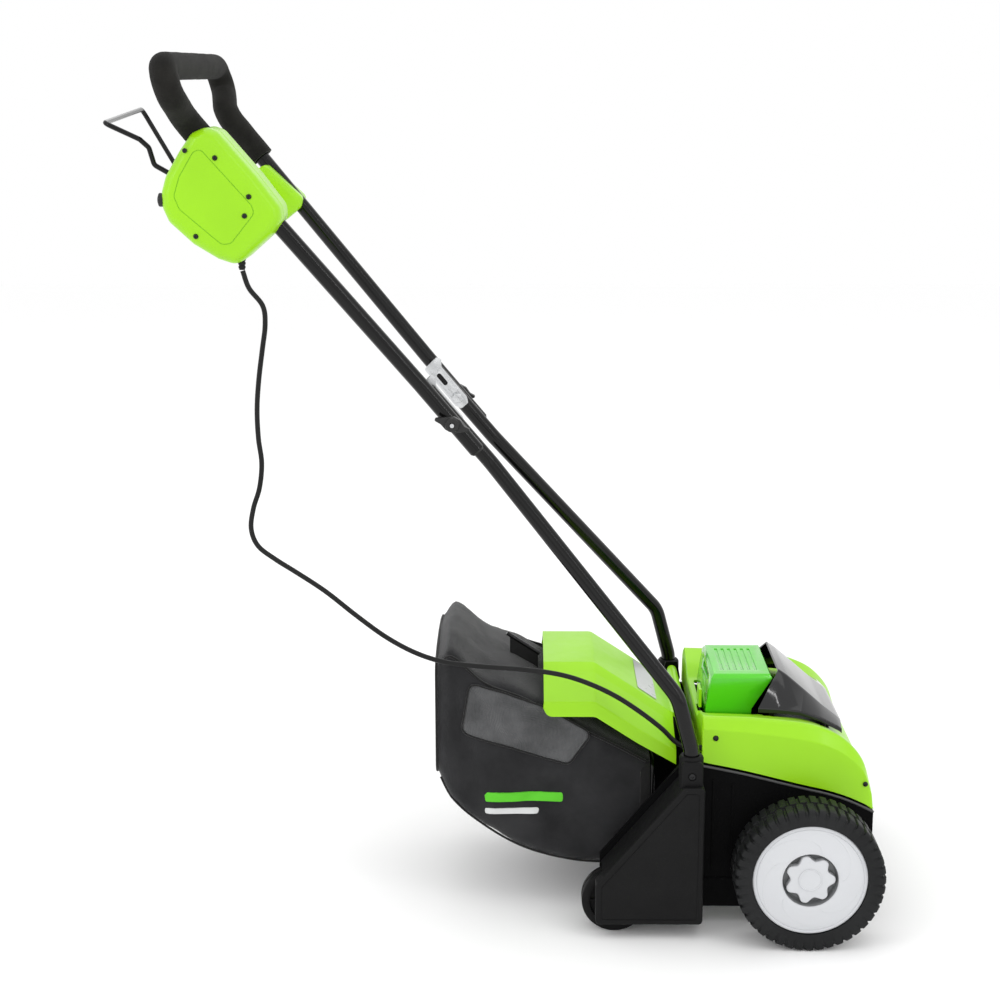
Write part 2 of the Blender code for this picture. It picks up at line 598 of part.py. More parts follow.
def bag_loop(x, half, low, high, crown, shrink=0.0):
    half, low, high = half - shrink, low + shrink, high - shrink
    corner = 0.020
    near = [(x, -half + corner, low), (x, -half, low + corner), (x, -half, high - 0.012),
            (x, -half + 0.012, high), (x, -half / 2, high + 0.7 * crown)]
    far = [(px, -py, pz) for px, py, pz in reversed(near)]
    return near + [(x, 0, high + crown)] + far


def grass_bag():
    """Fabric bag: a closed shell, open at its mouth."""
    bag = loft("grass_bag", [bag_loop(*station) for station in BAG_STATIONS], FABRIC)
    wall = 0.004
    first = (BAG_STATIONS[0][0] + wall,) + BAG_STATIONS[0][1:]
    beyond = 0.25               # the hollow runs on past the mouth by this share of the last span
    last = tuple(b + beyond * (b - a) for a, b in zip(BAG_STATIONS[-2], BAG_STATIONS[-1]))
    stations = (first,) + BAG_STATIONS[1:-1] + (last,)
    hollow = loft("cut_bag", [bag_loop(*station, wall) for station in stations], METAL, CUTTERS)
    boolean(bag, as_cutter(hollow))
    x = 0.1900
    half, low, high = 0.121, 0.060, 0.194
    corners = [(x, -half, low), (x, half, low), (x, half, high), (x, -half, high)]
    middle = [(x, 0, low)] + [corners[i] for i in (1, 2, 3, 0)] + [(x, -0.0015, low)]
    tube("bag_frame", rounded_path(middle, 0.018, 3), 0.0025, BLACK_METAL, 2)
    tube("bag_rod", [(0.008, -0.020, 0.3305), (0.029, -0.020, 0.3168), (0.0500, -0.020, 0.3033)],
         0.0025, BLACK_METAL, 2)


# ---------------------------------------------------------------- handle
def along_lower(side):
    foot = Vector((SOCKET_X, side * SOCKET_Y, SOCKET_BASE + 0.006))
    bend = at_side(LOWER_BEND, side)
    flat = Vector((PIVOT.x, side * LOWER_TUBE_Y, PIVOT.z))
    rise = (flat - Vector((bend.x, flat.y, bend.z))).normalized()
    mouth = Vector((foot.x, foot.y, SOCKET_TOP + 0.006))
    return [foot, mouth, bend, flat - rise * 0.070, flat + rise * OVERLAP]


def upper_rise():
    return Vector((UPPER_BEND.x - PIVOT.x, 0, UPPER_BEND.z - PIVOT.z)).normalized()


def along_upper(side):
    flat = Vector((PIVOT.x, side * UPPER_TUBE_Y, PIVOT.z))
    rise = upper_rise()
    return [flat - rise * OVERLAP, flat + rise * 0.060, at_side(UPPER_BEND, side),
            at_side(HANDLE_CORNER, side)]


def handle_tubes():
    for label, side in SIDES:
        line = rounded_path(along_lower(side), 0.040)
        lower = hollow("lower_handle_" + label, line, TUBE_R, TUBE_R - TUBE_WALL, GLOSS_BLACK)
        hole = cylinder("cut_lower_bolt_" + label, (PIVOT.x, side * 0.060, PIVOT.z),
                        (PIVOT.x, side * 0.1000, PIVOT.z), BOLT_R + GAP, METAL, CUTTERS, 16)
        boolean(lower, as_cutter(hole))
    points = along_upper(RIGHT) + list(reversed(along_upper(LEFT)))
    line = rounded_path(points, GRIP_BEND_R, 5, GRIP_SHARE)
    upper = hollow("upper_handle", line, TUBE_R, TUBE_R - TUBE_WALL, GLOSS_BLACK)
    for label, side in SIDES:
        hole = cylinder("cut_upper_bolt_" + label, (PIVOT.x, side * 0.090, PIVOT.z),
                        (PIVOT.x, side * 0.120, PIVOT.z), BOLT_R + GAP, METAL, CUTTERS, 16)
        boolean(upper, as_cutter(hole))


def foam_grip():
    """Foam sleeve over the crossbar and both flares."""
    ends = []
    for side, slide in ((RIGHT, 0.12), (LEFT, 0.178)):
        straight = along_upper(side)
        ends.append([straight[2].lerp(straight[1], slide), *straight[2:]])
    line = rounded_path(ends[0] + list(reversed(ends[1])), GRIP_BEND_R, 5, GRIP_SHARE)
    hollow("foam_grip", line, FOAM_R, FOAM_BORE, FOAM, 3)


def handle_joint(label, side):
    """Bolt, inner plate and wing knob that clamp the two tubes."""
    x, z = PIVOT.x, PIVOT.z
    bolt = cylinder("joint_bolt_" + label, (x, side * 0.0685, z), (x, side * 0.1290, z), BOLT_R, METAL,
                    None, 16)
    head = cylinder("join_bolt_head_" + label, (x, side * 0.0665, z), (x, side * 0.0710, z), 0.0070,
                    METAL, CUTTERS, 6)
    boolean(bolt, as_cutter(head), "UNION")
    rise = upper_rise()
    across = Vector((rise.z, 0, -rise.x))
    corners = ((-0.014, -0.006), (-0.014, 0.006), (-0.006, 0.0095), (0.044, 0.0095), (0.052, 0.016),
               (0.058, 0.012), (0.056, -0.0095), (-0.006, -0.0095))
    outline = [(x + rise.x * s + across.x * t, z + rise.z * s + across.z * t) for s, t in corners]
    plate = prism("clamp_plate_" + label, outline, side * 0.0713, side * 0.0742, METAL)
    hole = cylinder("cut_plate_" + label, (x, side * 0.060, z), (x, side * 0.080, z), BOLT_R + GAP,
                    METAL, CUTTERS, 16)
    boolean(plate, as_cutter(hole))
    wing = ((-0.0255, 0.0075), (-0.0140, 0.0010), (-0.0080, -0.0060), (0.0020, -0.0105), (0.0250, -0.0075),
            (0.0145, -0.0020), (0.0095, 0.0055), (0.0020, 0.0095), (-0.0110, 0.0085))
    knob = prism("wing_knob_" + label, [(x + dx, z + dz) for dx, dz in wing], side * 0.1140,
                 side * 0.1265, DARK_PLASTIC)
    bore = cylinder("cut_knob_" + label, (x, side * 0.100, z), (x, side * 0.140, z), BOLT_R + GAP,
                    METAL, CUTTERS, 16)
    boolean(knob, as_cutter(bore))


def handle_line_cutter(name, side, radius, start, end):
    """A straight cutter along the upper tube, between two distances past the pivot's flat."""
    straight = along_upper(side)
    heading = (straight[2] - straight[1]).normalized()
    return as_cutter(cylinder(name, straight[2] - heading * start, straight[2] - heading * end, radius,
                              METAL, CUTTERS, 24))


def bail_slot(name, side, low, high, reach):
    """Room for the bail's arm to swing where it leaves a box."""
    p = BAIL_PIVOT
    fan = [(p.x + 0.008, p.z - 0.006)]
    for degrees in (high, (low + high) / 2, low):
        turn = math.radians(degrees)
        fan.append((p.x + reach * math.cos(turn), p.z + reach * math.sin(turn)))
    return as_cutter(prism(name, fan, side * (BAIL_Y - 0.0055), side * (BAIL_Y + 0.0055), METAL, CUTTERS))


def switch_box():
    """Two lime half-shells round the right tube, screwed together, with the lock-off button."""
    halves = (("switch_box_outer", BOX_OUTER, BOX_SPLIT + GAP), ("switch_box_inner", BOX_SPLIT, BOX_INNER))
    channel = handle_line_cutter("cut_box_tube", RIGHT, TUBE_R + GAP, -0.020, 0.220)
    foam_seat = handle_line_cutter("cut_box_foam", RIGHT, FOAM_R + 2 * GAP, -0.010, 0.056)
    button_bore = as_cutter(cylinder("cut_button", (-0.400, -0.164, 0.8890), (-0.365, -0.164, 0.8890),
                                     0.0083, METAL, CUTTERS, 20))
    cable_bore = as_cutter(cylinder("cut_box_gland", (-0.2975, -0.146, 0.8050), (-0.2975, -0.146, 0.8300),
                                    0.0055, METAL, CUTTERS, 16))
    slot = bail_slot("cut_bail_slot", RIGHT, 110, 165, 0.110)
    for name, face, split in halves:
        low, high = sorted((-face, -split))
        half = prism(name, BOX_OUTLINE, low, high, LIME_PLASTIC)
        bevel(half, 0.006 if name == "switch_box_outer" else 0.003, 2, 60)
        inner = (low + BOX_WALL, high + 0.01) if face > split else (low - 0.01, high - BOX_WALL)
        pocket = prism("cut_" + name, inset(BOX_OUTLINE, BOX_WALL), *inner, METAL, CUTTERS)
        boolean(half, as_cutter(pocket))
        boolean(half, channel)
        boolean(half, foam_seat)
        boolean(half, cable_bore)
    boolean(bpy.data.objects["switch_box_outer"], button_bore)
    boolean(bpy.data.objects["switch_box_inner"], slot)
    cylinder("lock_off_button", (-0.3880, -0.164, 0.8890), (-0.3740, -0.164, 0.8890), 0.0080, DARK_PLASTIC)
    spots = ((-0.3530, 0.9450), (-0.3193, 0.9367), (-0.2823, 0.8934), (-0.2878, 0.8718), (-0.3441, 0.8486))
    for i, (x, z) in enumerate(spots):
        cylinder(f"box_screw_{i + 1}", (x, -BOX_OUTER - GAP, z), (x, -BOX_OUTER - 0.0015, z), 0.0028,
                 BLACK_METAL, None, 12)


def left_box():
    """Small lime housing that carries the bail's left end."""
    low, high = LEFT_BOX_INNER, LEFT_BOX_OUTER
    body = prism("left_box", LEFT_BOX_OUTLINE, low, high, LIME_PLASTIC)
    bevel(body, 0.004, 2, 60)
    pocket = prism("cut_left_box", inset(LEFT_BOX_OUTLINE, BOX_WALL), low + BOX_WALL, high - BOX_WALL,
                   METAL, CUTTERS)
    boolean(body, as_cutter(pocket))
    boolean(body, handle_line_cutter("cut_left_box_tube", LEFT, TUBE_R + GAP, 0.010, 0.220))
    boolean(body, bail_slot("cut_left_slot", LEFT, 110, 178, 0.060))


def bail_lever():
    """Bent wire: a crossbar behind the grip, each arm ending in a pin inside a box."""
    p = BAIL_PIVOT
    right = [(p.x, -0.127, p.z), (p.x, -BAIL_Y, p.z), (-0.3830, -BAIL_Y, 0.9165), (-0.4000, -BAIL_Y, 0.9260),
             (-0.4055, -BAIL_Y, 0.9460), (-0.4160, -BAIL_Y, 0.9555), (-0.4560, -BAIL_Y, 0.9740)]
    left = [(-0.4590, BAIL_Y, 0.9850), (-0.4180, BAIL_Y, 0.9130), (-0.3420, BAIL_Y, 0.8920),
            (p.x, BAIL_Y, p.z), (p.x, 0.1265, p.z)]
    tube("bail_lever", rounded_path(right + left, 0.008, 2), BAIL_R, GLOSS_BLACK, 3)


def power_cable():
    """Cable from the switch box to the hood, held by a gland at each end."""
    tube("power_cable", smooth_path(CABLE_ROUTE, 2), CABLE_R, RUBBER, 2)
    cylinder("cable_gland_box", (-0.2975, -0.146, 0.8250), (-0.2975, -0.146, 0.8072), 0.0050, RUBBER, None,
             16, 0.0040)
    cylinder("cable_gland_hood", (0.2315, -0.146, 0.222), (0.2500, -0.146, 0.222), 0.0040, RUBBER, None, 16)


# ---------------------------------------------------------------- build
clear_scene()
PARTS = collection("lawn_dethatcher")
CUTTERS = collection("cutters")
LIME_PLASTIC = material("lime_plastic", LIME, 0.32)
GREEN_PLASTIC = material("green_plastic", GREEN, 0.22)
BLACK_PLASTIC = material("black_plastic", BLACK, 0.50)
DARK_PLASTIC = material("dark_plastic", CHARCOAL, 0.45)
GLOSS_BLACK = material("gloss_black", BLACK, 0.12)
RUBBER = material("rubber", BLACK, 0.60)
FOAM = material("foam", CHARCOAL, 0.90)
FABRIC = material("bag_fabric", (0.02, 0.02, 0.022, 1), 0.85)
WHITE_PLASTIC = material("pale_plastic", PALE, 0.30)
METAL = material("zinc_steel", STEEL, 0.30, 1.0)
BLACK_METAL = material("black_steel", BLACK, 0.35, 0.6)

for word, sign in SIDES:
    front_wheel(word, sign)
    rear_wheel(word, sign)
    side_panel(word, sign)
    handle_joint(word, sign)
axles()
deck_housing()
top_hood()
front_fairing()
battery()
drive()
tine_rotor()
rear_flap()
grass_bag()
handle_tubes()
foam_grip()
switch_box()
left_box()
bail_lever()
power_cable()
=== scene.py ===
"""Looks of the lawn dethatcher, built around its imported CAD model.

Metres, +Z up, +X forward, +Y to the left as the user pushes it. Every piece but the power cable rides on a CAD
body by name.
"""
import json
import math

import bmesh
import bpy
from mathutils import Matrix, Vector, noise


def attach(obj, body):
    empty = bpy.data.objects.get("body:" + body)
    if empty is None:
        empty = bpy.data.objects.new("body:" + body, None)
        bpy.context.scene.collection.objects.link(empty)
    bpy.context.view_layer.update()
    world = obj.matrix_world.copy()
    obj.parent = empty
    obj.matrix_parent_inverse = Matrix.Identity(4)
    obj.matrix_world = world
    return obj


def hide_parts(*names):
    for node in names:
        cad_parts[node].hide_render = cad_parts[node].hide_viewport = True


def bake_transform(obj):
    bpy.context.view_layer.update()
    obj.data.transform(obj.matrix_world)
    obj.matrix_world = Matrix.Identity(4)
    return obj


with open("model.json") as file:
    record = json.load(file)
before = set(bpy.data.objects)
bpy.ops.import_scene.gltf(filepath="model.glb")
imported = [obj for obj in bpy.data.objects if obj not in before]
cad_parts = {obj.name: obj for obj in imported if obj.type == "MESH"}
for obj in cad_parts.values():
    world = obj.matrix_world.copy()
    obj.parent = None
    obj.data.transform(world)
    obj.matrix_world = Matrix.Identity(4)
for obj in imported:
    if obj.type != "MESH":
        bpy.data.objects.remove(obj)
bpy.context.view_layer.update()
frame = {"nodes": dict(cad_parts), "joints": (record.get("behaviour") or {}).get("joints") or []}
RIGHT, LEFT = -1, 1
SIDES = (("right", RIGHT), ("left", LEFT))
GAP = 0.0004


# ------------------------------------------------------------------ mesh helpers
def smooth_again(obj, degrees=35):
    """Shades the mesh smooth, except where faces meet at more than this angle."""
    obj.data.shade_smooth()
    obj.data.set_sharp_from_angle(angle=math.radians(degrees))
    return obj


def add(name, bm, mat=None, smooth=35):
    """Puts a bmesh in the scene as an object, with its normals outward."""
    mesh = bpy.data.meshes.new(name)
    bmesh.ops.recalc_face_normals(bm, faces=bm.faces)
    bm.to_mesh(mesh)
    bm.free()
    obj = bpy.data.objects.new(name, mesh)
    bpy.context.scene.collection.objects.link(obj)
    if mat:
        mesh.materials.append(mat)
    return smooth_again(obj, smooth)


def dress(piece, body=None, node=None):
    """Ties a piece to its CAD body and the CAD node that it stands for."""
    if body:
        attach(piece, body)
    if node:
        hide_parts(node)
    return piece


def evaluated(obj):
    """A new mesh: the object's own shape with its modifiers or its curve bevel applied."""
    bpy.context.view_layer.update()
    graph = bpy.context.evaluated_depsgraph_get()
    return bpy.data.meshes.new_from_object(obj.evaluated_get(graph), depsgraph=graph)


def bake(obj):
    """Applies the object's modifiers."""
    mesh = evaluated(obj)
    old = obj.data
    obj.modifiers.clear()
    obj.data = mesh
    bpy.data.meshes.remove(old)
    return obj


def modifier(obj, kind, **values):
    made = obj.modifiers.new(kind.title(), kind)
    for key, value in values.items():
        setattr(made, key, value)
    return made


def bevel(obj, width, segments=3, degrees=35):
    modifier(obj, "BEVEL", width=width, segments=segments, limit_method="ANGLE",
             angle_limit=math.radians(degrees), use_clamp_overlap=True, harden_normals=False)
    return obj


def cut(obj, *cutters, operation="DIFFERENCE"):
    """Booleans each cutter into the object, and deletes the cutter."""
    for cutter in cutters:
        modifier(obj, "BOOLEAN", object=cutter, operation=operation, solver="EXACT")
        bake(obj)
        bpy.data.objects.remove(cutter, do_unlink=True)
    return obj


def merge(objects, name=None):
    """Joins meshes into the first one, as separate shells."""
    bm = bmesh.new()
    for obj in objects:
        bake(obj)
        part = obj.data.copy()
        part.transform(obj.matrix_world)
        bm.from_mesh(part)
        bpy.data.meshes.remove(part)
    first = objects[0]
    first.matrix_world = Matrix.Identity(4)
    bm.to_mesh(first.data)
    bm.free()
    for obj in objects[1:]:
        bpy.data.objects.remove(obj, do_unlink=True)
    if name:
        first.name = name
    return smooth_again(first)


def prism(name, outline, y0, y1, mat=None):
    """An outline in X and Z, extruded from y0 to y1."""
    bm = bmesh.new()
    face = bm.faces.new([bm.verts.new((x, y0, z)) for x, z in outline])
    made = bmesh.ops.extrude_face_region(bm, geom=[face])
    bmesh.ops.translate(bm, verts=[v for v in made["geom"] if isinstance(v, bmesh.types.BMVert)],
                        vec=(0, y1 - y0, 0))
    return add(name, bm, mat)


def cylinder(name, start, end, radius, mat=None, segments=32, end_radius=None):
    start, end = Vector(start), Vector(end)
    bm = bmesh.new()
    bmesh.ops.create_cone(bm, cap_ends=True, segments=segments, radius1=radius,
                          radius2=radius if end_radius is None else end_radius, depth=(end - start).length)
    turn = Vector((0, 0, 1)).rotation_difference(end - start).to_matrix().to_4x4()
    bmesh.ops.transform(bm, matrix=Matrix.Translation((start + end) / 2) @ turn, verts=bm.verts)
    return add(name, bm, mat)


def box(name, low, high, mat=None):
    low, high = Vector(low), Vector(high)
    bm = bmesh.new()
    bmesh.ops.create_cube(bm, size=1, matrix=Matrix.Translation((low + high) / 2)
                          @ Matrix.Diagonal((*(high - low), 1)))
    return add(name, bm, mat)


def bridge(bm, rings, closed=False, round_too=True):
    """Fills between neighbouring rings. closed joins the last to the first; round_too closes each ring."""
    for a, b in zip(rings, rings[1:] + rings[:1] if closed else rings[1:]):
        for i in range(len(a) if round_too else len(a) - 1):
            j = (i + 1) % len(a)
            bm.faces.new((a[i], a[j], b[j], b[i]))


def turned(name, profile, centre, mat=None, segments=96, closed=True, mirror=1):
    """A profile of (radius, y), revolved about the line along Y through centre (x, z)."""
    bm = bmesh.new()
    rings = []
    for k in range(segments):
        turn = 2 * math.pi * k / segments
        rings.append([bm.verts.new((centre[0] + r * math.cos(turn), mirror * y,
                                    centre[1] + r * math.sin(turn)))
                      for r, y in profile])
    bridge(bm, rings, closed=True, round_too=closed)
    return add(name, bm, mat)


def aim(obj, start, heading):
    """Moves a piece that was made along Z from the origin, to run from start along heading."""
    turn = Vector((0, 0, 1)).rotation_difference(Vector(heading)).to_matrix().to_4x4()
    obj.data.transform(Matrix.Translation(start) @ turn)
    return obj


def spun(name, profile, mat, segments=32):
    """A profile of (radius, height), revolved about Z. A radius of 0 makes one point."""
    bm = bmesh.new()
    rings = []
    for r, h in profile:
        turns = [2 * math.pi * k / segments for k in range(segments if r else 1)]
        rings.append([bm.verts.new((r * math.cos(turn), r * math.sin(turn), h)) for turn in turns])
    for a, b in zip(rings, rings[1:]):
        for k in range(segments):
            j = (k + 1) % segments
            face = [a[k % len(a)], a[j % len(a)], b[j % len(b)], b[k % len(b)]]
            bm.faces.new(list(dict.fromkeys(face)))
    return add(name, bm, mat)


def loft(name, loops, mat=None, caps=True):
    """A skin through closed loops that all have the same number of points."""
    bm = bmesh.new()
    rings = [[bm.verts.new(p) for p in loop] for loop in loops]
    bridge(bm, rings)
    if caps:
        bm.faces.new(list(reversed(rings[0])))
        bm.faces.new(rings[-1])
    return add(name, bm, mat)


def sheet(name, rows, mat=None):
    """An open surface through rows of points."""
    bm = bmesh.new()
    grid = [[bm.verts.new(p) for p in row] for row in rows]
    bridge(bm, grid, round_too=False)
    return add(name, bm, mat)


def corner_arc(before, here, after, radius, steps, share):
    """The corner at here as an arc, which takes at most this share of the run on each side."""
    a, b = (before - here).normalized(), (after - here).normalized()
    half = a.angle(b) / 2
    if math.pi / 2 - half < 0.01:
        return [here]
    reach = min(radius / math.tan(half), share * (before - here).length, share * (after - here).length)
    middle = here + (a + b).normalized() * reach * math.tan(half) / math.sin(half)
    start, end = here + a * reach - middle, here + b * reach - middle
    sweep = start.angle(end)
    arc = []
    for k in range(steps + 1):
        turn = sweep * k / steps
        arc.append(middle + (start * math.sin(sweep - turn) + end * math.sin(turn)) / math.sin(sweep))
    return arc


def rounded_path(points, radius, steps=10, share=0.45):
    """An open line of straight runs, joined by arcs."""
    points = [Vector(p) for p in points]
    path = [points[0]]
    for corner in zip(points, points[1:], points[2:]):
        path += corner_arc(*corner, radius, steps, share)
    return path + [points[-1]]


def rounded_outline(points, radius, steps=5, share=0.48):
    """A closed flat outline with each corner rounded."""
    points = [Vector(p) for p in points]
    made = []
    for corner in zip(points[-1:] + points, points, points[1:] + points[:1]):
        made += [tuple(p) for p in corner_arc(*corner, radius, steps, share)]
    return made


def evenly(points, count):
    """This many points, evenly spaced, round a closed line."""
    closed = [Vector(p) for p in points] + [Vector(points[0])]
    lengths = [0.0]
    for a, b in zip(closed, closed[1:]):
        lengths.append(lengths[-1] + (b - a).length)
    made, i = [], 0
    for k in range(count):
        goal = lengths[-1] * k / count
        while lengths[i + 1] < goal:
            i += 1
        t = (goal - lengths[i]) / max(1e-9, lengths[i + 1] - lengths[i])
        made.append(closed[i].lerp(closed[i + 1], t))
    return made


def smooth_path(points, per_span=6):
    """A smooth curve through the points."""
    points = [Vector(p) for p in points]
    ends = [2 * points[0] - points[1]] + points + [2 * points[-1] - points[-2]]
    path = []
    for p0, p1, p2, p3 in zip(ends, ends[1:], ends[2:], ends[3:]):
        for k in range(per_span):
            t = k / per_span
            path.append(0.5 * (2 * p1 + (p2 - p0) * t + (2 * p0 - 5 * p1 + 4 * p2 - p3) * t * t
                               + (3 * p1 - p0 - 3 * p2 + p3) * t ** 3))
    path.append(points[-1])
    return path


def wire(name, path, radius, mat, body=None, node=None, resolution=8, cyclic=False):
    """A round rod along a path, as a curve object."""
    curve = bpy.data.curves.new(name, "CURVE")
    curve.dimensions = "3D"
    curve.bevel_depth = radius
    curve.bevel_resolution = resolution
    curve.use_fill_caps = True
    spline = curve.splines.new("POLY")
    spline.points.add(len(path) - 1)
    for point, place in zip(spline.points, path):
        point.co = (*place, 1)
    spline.use_cyclic_u = cyclic
    spline.use_smooth = True
    curve.materials.append(mat)
    obj = bpy.data.objects.new(name, curve)
    bpy.context.scene.collection.objects.link(obj)
    return dress(obj, body, node)


def as_mesh(obj):
    """Turns a curve object into a mesh object with welded caps."""
    mesh = evaluated(obj)
    name, mat = obj.name, obj.data.materials[0]
    bpy.data.objects.remove(obj, do_unlink=True)
    bm = bmesh.new()
    bm.from_mesh(mesh)
    bpy.data.meshes.remove(mesh)
    bmesh.ops.remove_doubles(bm, verts=bm.verts, dist=0.00001)
    return add(name, bm, mat, 50)


def sleeve(name, path, radius, bore, mat, resolution=10):
    """A tube along a path, open at both ends."""
    solid = as_mesh(wire(name, path, radius, mat, resolution=resolution))
    start = path[0] + (path[0] - path[1]).normalized() * 0.01
    end = path[-1] + (path[-1] - path[-2]).normalized() * 0.01
    inner = as_mesh(wire(name + "_bore", [start] + path[1:-1] + [end], bore, mat, resolution=resolution))
    return smooth_again(cut(solid, inner), 50)


def inset(outline, distance):
    """An outline moved inward, whichever way round it runs."""
    count = len(outline)
    area = sum(ax * by - bx * ay for (ax, ay), (bx, by) in zip(outline, outline[1:] + outline[:1]))
    sign = 1 if area > 0 else -1
    made = []
    for i in range(count):
        before, here, after = (Vector(outline[(i + k) % count]) for k in (-1, 0, 1))
        a, b = (here - before).normalized(), (after - here).normalized()
        na, nb = Vector((-a.y, a.x)) * sign, Vector((-b.y, b.x)) * sign
        middle = (na + nb).normalized()
        made.append(tuple(here + middle * distance / max(0.4, middle.dot(na))))
    return made


# ------------------------------------------------------------------ materials
class Shader:
    """A Principled material whose detail comes from procedural nodes in the object's own coordinates."""

    def __init__(self, name, colour, roughness, metallic=0.0, coat=0.0, coat_roughness=0.08, specular=0.5,
                 sheen=0.0):
        self.mat = bpy.data.materials.new(name)
        self.mat.use_nodes = True
        self.nodes = self.mat.node_tree.nodes
        self.links = self.mat.node_tree.links
        self.bsdf = self.nodes["Principled BSDF"]
        values = {"Base Color": (*colour, 1), "Roughness": roughness, "Metallic": metallic,
                  "Coat Weight": coat, "Coat Roughness": coat_roughness, "Specular IOR Level": specular,
                  "Sheen Weight": sheen}
        for key, value in values.items():
            self.bsdf.inputs[key].default_value = value
        self.colour, self.roughness = colour, roughness
        self.place = self.node("ShaderNodeTexCoord").outputs["Object"]
        self.height = None

    def node(self, kind, **values):
        made = self.nodes.new(kind)
        for key, value in values.items():
            setattr(made, key, value)
        return made

    def noise(self, scale, detail=3.0, rough=0.55, stretch=None):
        made = self.node("ShaderNodeTexNoise")
        made.inputs["Scale"].default_value = scale
        made.inputs["Detail"].default_value = detail
        made.inputs["Roughness"].default_value = rough
        place = self.place
        if stretch:
            shape = self.node("ShaderNodeMapping")
            shape.inputs["Scale"].default_value = stretch
            self.links.new(place, shape.inputs["Vector"])
            place = shape.outputs["Vector"]
        self.links.new(place, made.inputs["Vector"])
        return made.outputs["Fac"]

    def cells(self, scale, feature="F1"):
        made = self.node("ShaderNodeTexVoronoi", feature=feature)
        made.inputs["Scale"].default_value = scale
        self.links.new(self.place, made.inputs["Vector"])
        return made.outputs["Distance"]

    def spread(self, source, low, high, out_low, out_high):
        made = self.node("ShaderNodeMapRange")
        for key, value in (("From Min", low), ("From Max", high), ("To Min", out_low),
                           ("To Max", out_high)):
            made.inputs[key].default_value = value
        self.links.new(source, made.inputs["Value"])
        return made.outputs["Result"]

    def math(self, operation, a, b):
        made = self.node("ShaderNodeMath", operation=operation)
        for socket, value in zip(made.inputs, (a, b)):
            if isinstance(value, (int, float)):
                socket.default_value = value
            else:
                self.links.new(value, socket)
        return made.outputs["Value"]

    def tint(self, source, first, second, low=0.35, high=0.65):
        """The base colour runs from first to second as source runs from low to high."""
        ramp = self.node("ShaderNodeValToRGB")
        ramp.color_ramp.elements[0].position, ramp.color_ramp.elements[0].color = low, (*first, 1)
        ramp.color_ramp.elements[1].position, ramp.color_ramp.elements[1].color = high, (*second, 1)
        self.links.new(source, ramp.inputs["Fac"])
        self.links.new(ramp.outputs["Color"], self.bsdf.inputs["Base Color"])
        return self

    def vary(self, scale=6.0, by=0.06, rough_by=0.05):
        """Slow, faint changes of colour and roughness."""
        slow = self.noise(scale, 4.0)
        dark = [c * (1 - by) for c in self.colour]
        light = [min(1.0, c * (1 + by)) for c in self.colour]
        self.tint(slow, dark, light)
        fine = self.noise(scale * 9, 3.0)
        self.links.new(self.spread(fine, 0.3, 0.7, self.roughness - rough_by, self.roughness + rough_by),
                       self.bsdf.inputs["Roughness"])
        return self

    def bump(self, source, strength, distance):
        made = self.node("ShaderNodeBump")
        made.inputs["Strength"].default_value = strength
        made.inputs["Distance"].default_value = distance
        self.links.new(source, made.inputs["Height"])
        if self.height is not None:
            self.links.new(self.height, made.inputs["Normal"])
        self.height = made.outputs["Normal"]
        self.links.new(self.height, self.bsdf.inputs["Normal"])
        return self


def moulded(name, colour, roughness, coat=0.0, grain=900.0, depth=0.25, by=0.04):
    """Injection-moulded plastic: faint orange peel over a fine grain."""
    made = Shader(name, colour, roughness, coat=coat, coat_roughness=0.12, specular=0.35)
    made.vary(7.0, by, 0.04)
    made.bump(made.noise(140.0, 2.0), 0.06, 0.0008)
    made.bump(made.noise(grain, 3.0), depth, 0.0002)
    return made


def spark_textured(name, colour, roughness, specular=0.2):
    """Plastic from a spark-eroded mould: fine leathery cells."""
    made = Shader(name, colour, roughness, specular=specular)
    made.vary(9.0, 0.18, 0.06)
    made.bump(made.cells(700.0), 0.35, 0.0003)
    made.bump(made.noise(1500.0, 2.0), 0.25, 0.0002)
    return made


def painted(name, colour, roughness):
    made = Shader(name, colour, roughness, coat=0.12, coat_roughness=0.05, specular=0.20)
    made.vary(11.0, 0.10, 0.03)
    made.bump(made.noise(260.0, 2.0), 0.05, 0.0006)
    return made


def plated(name, colour, roughness, stretch=(1, 14, 1)):
    made = Shader(name, colour, roughness, metallic=1.0)
    made.vary(22.0, 0.10, 0.08)
    made.bump(made.noise(420.0, 3.0, 0.6, stretch), 0.12, 0.0002)
    return made


def rubbery(name, colour, roughness, grain=800.0):
    made = Shader(name, colour, roughness, specular=0.2)
    made.vary(12.0, 0.25, 0.08)
    made.bump(made.noise(grain, 4.0, 0.65), 0.30, 0.0003)
    return made


def foamed(name, colour):
    """Closed-cell foam: small pits in a dull skin."""
    made = Shader(name, colour, 0.92, specular=0.1, sheen=0.05)
    made.vary(30.0, 0.30, 0.04)
    made.bump(made.cells(1100.0), 0.7, 0.0006)
    made.bump(made.noise(300.0, 4.0), 0.35, 0.0006)
    return made


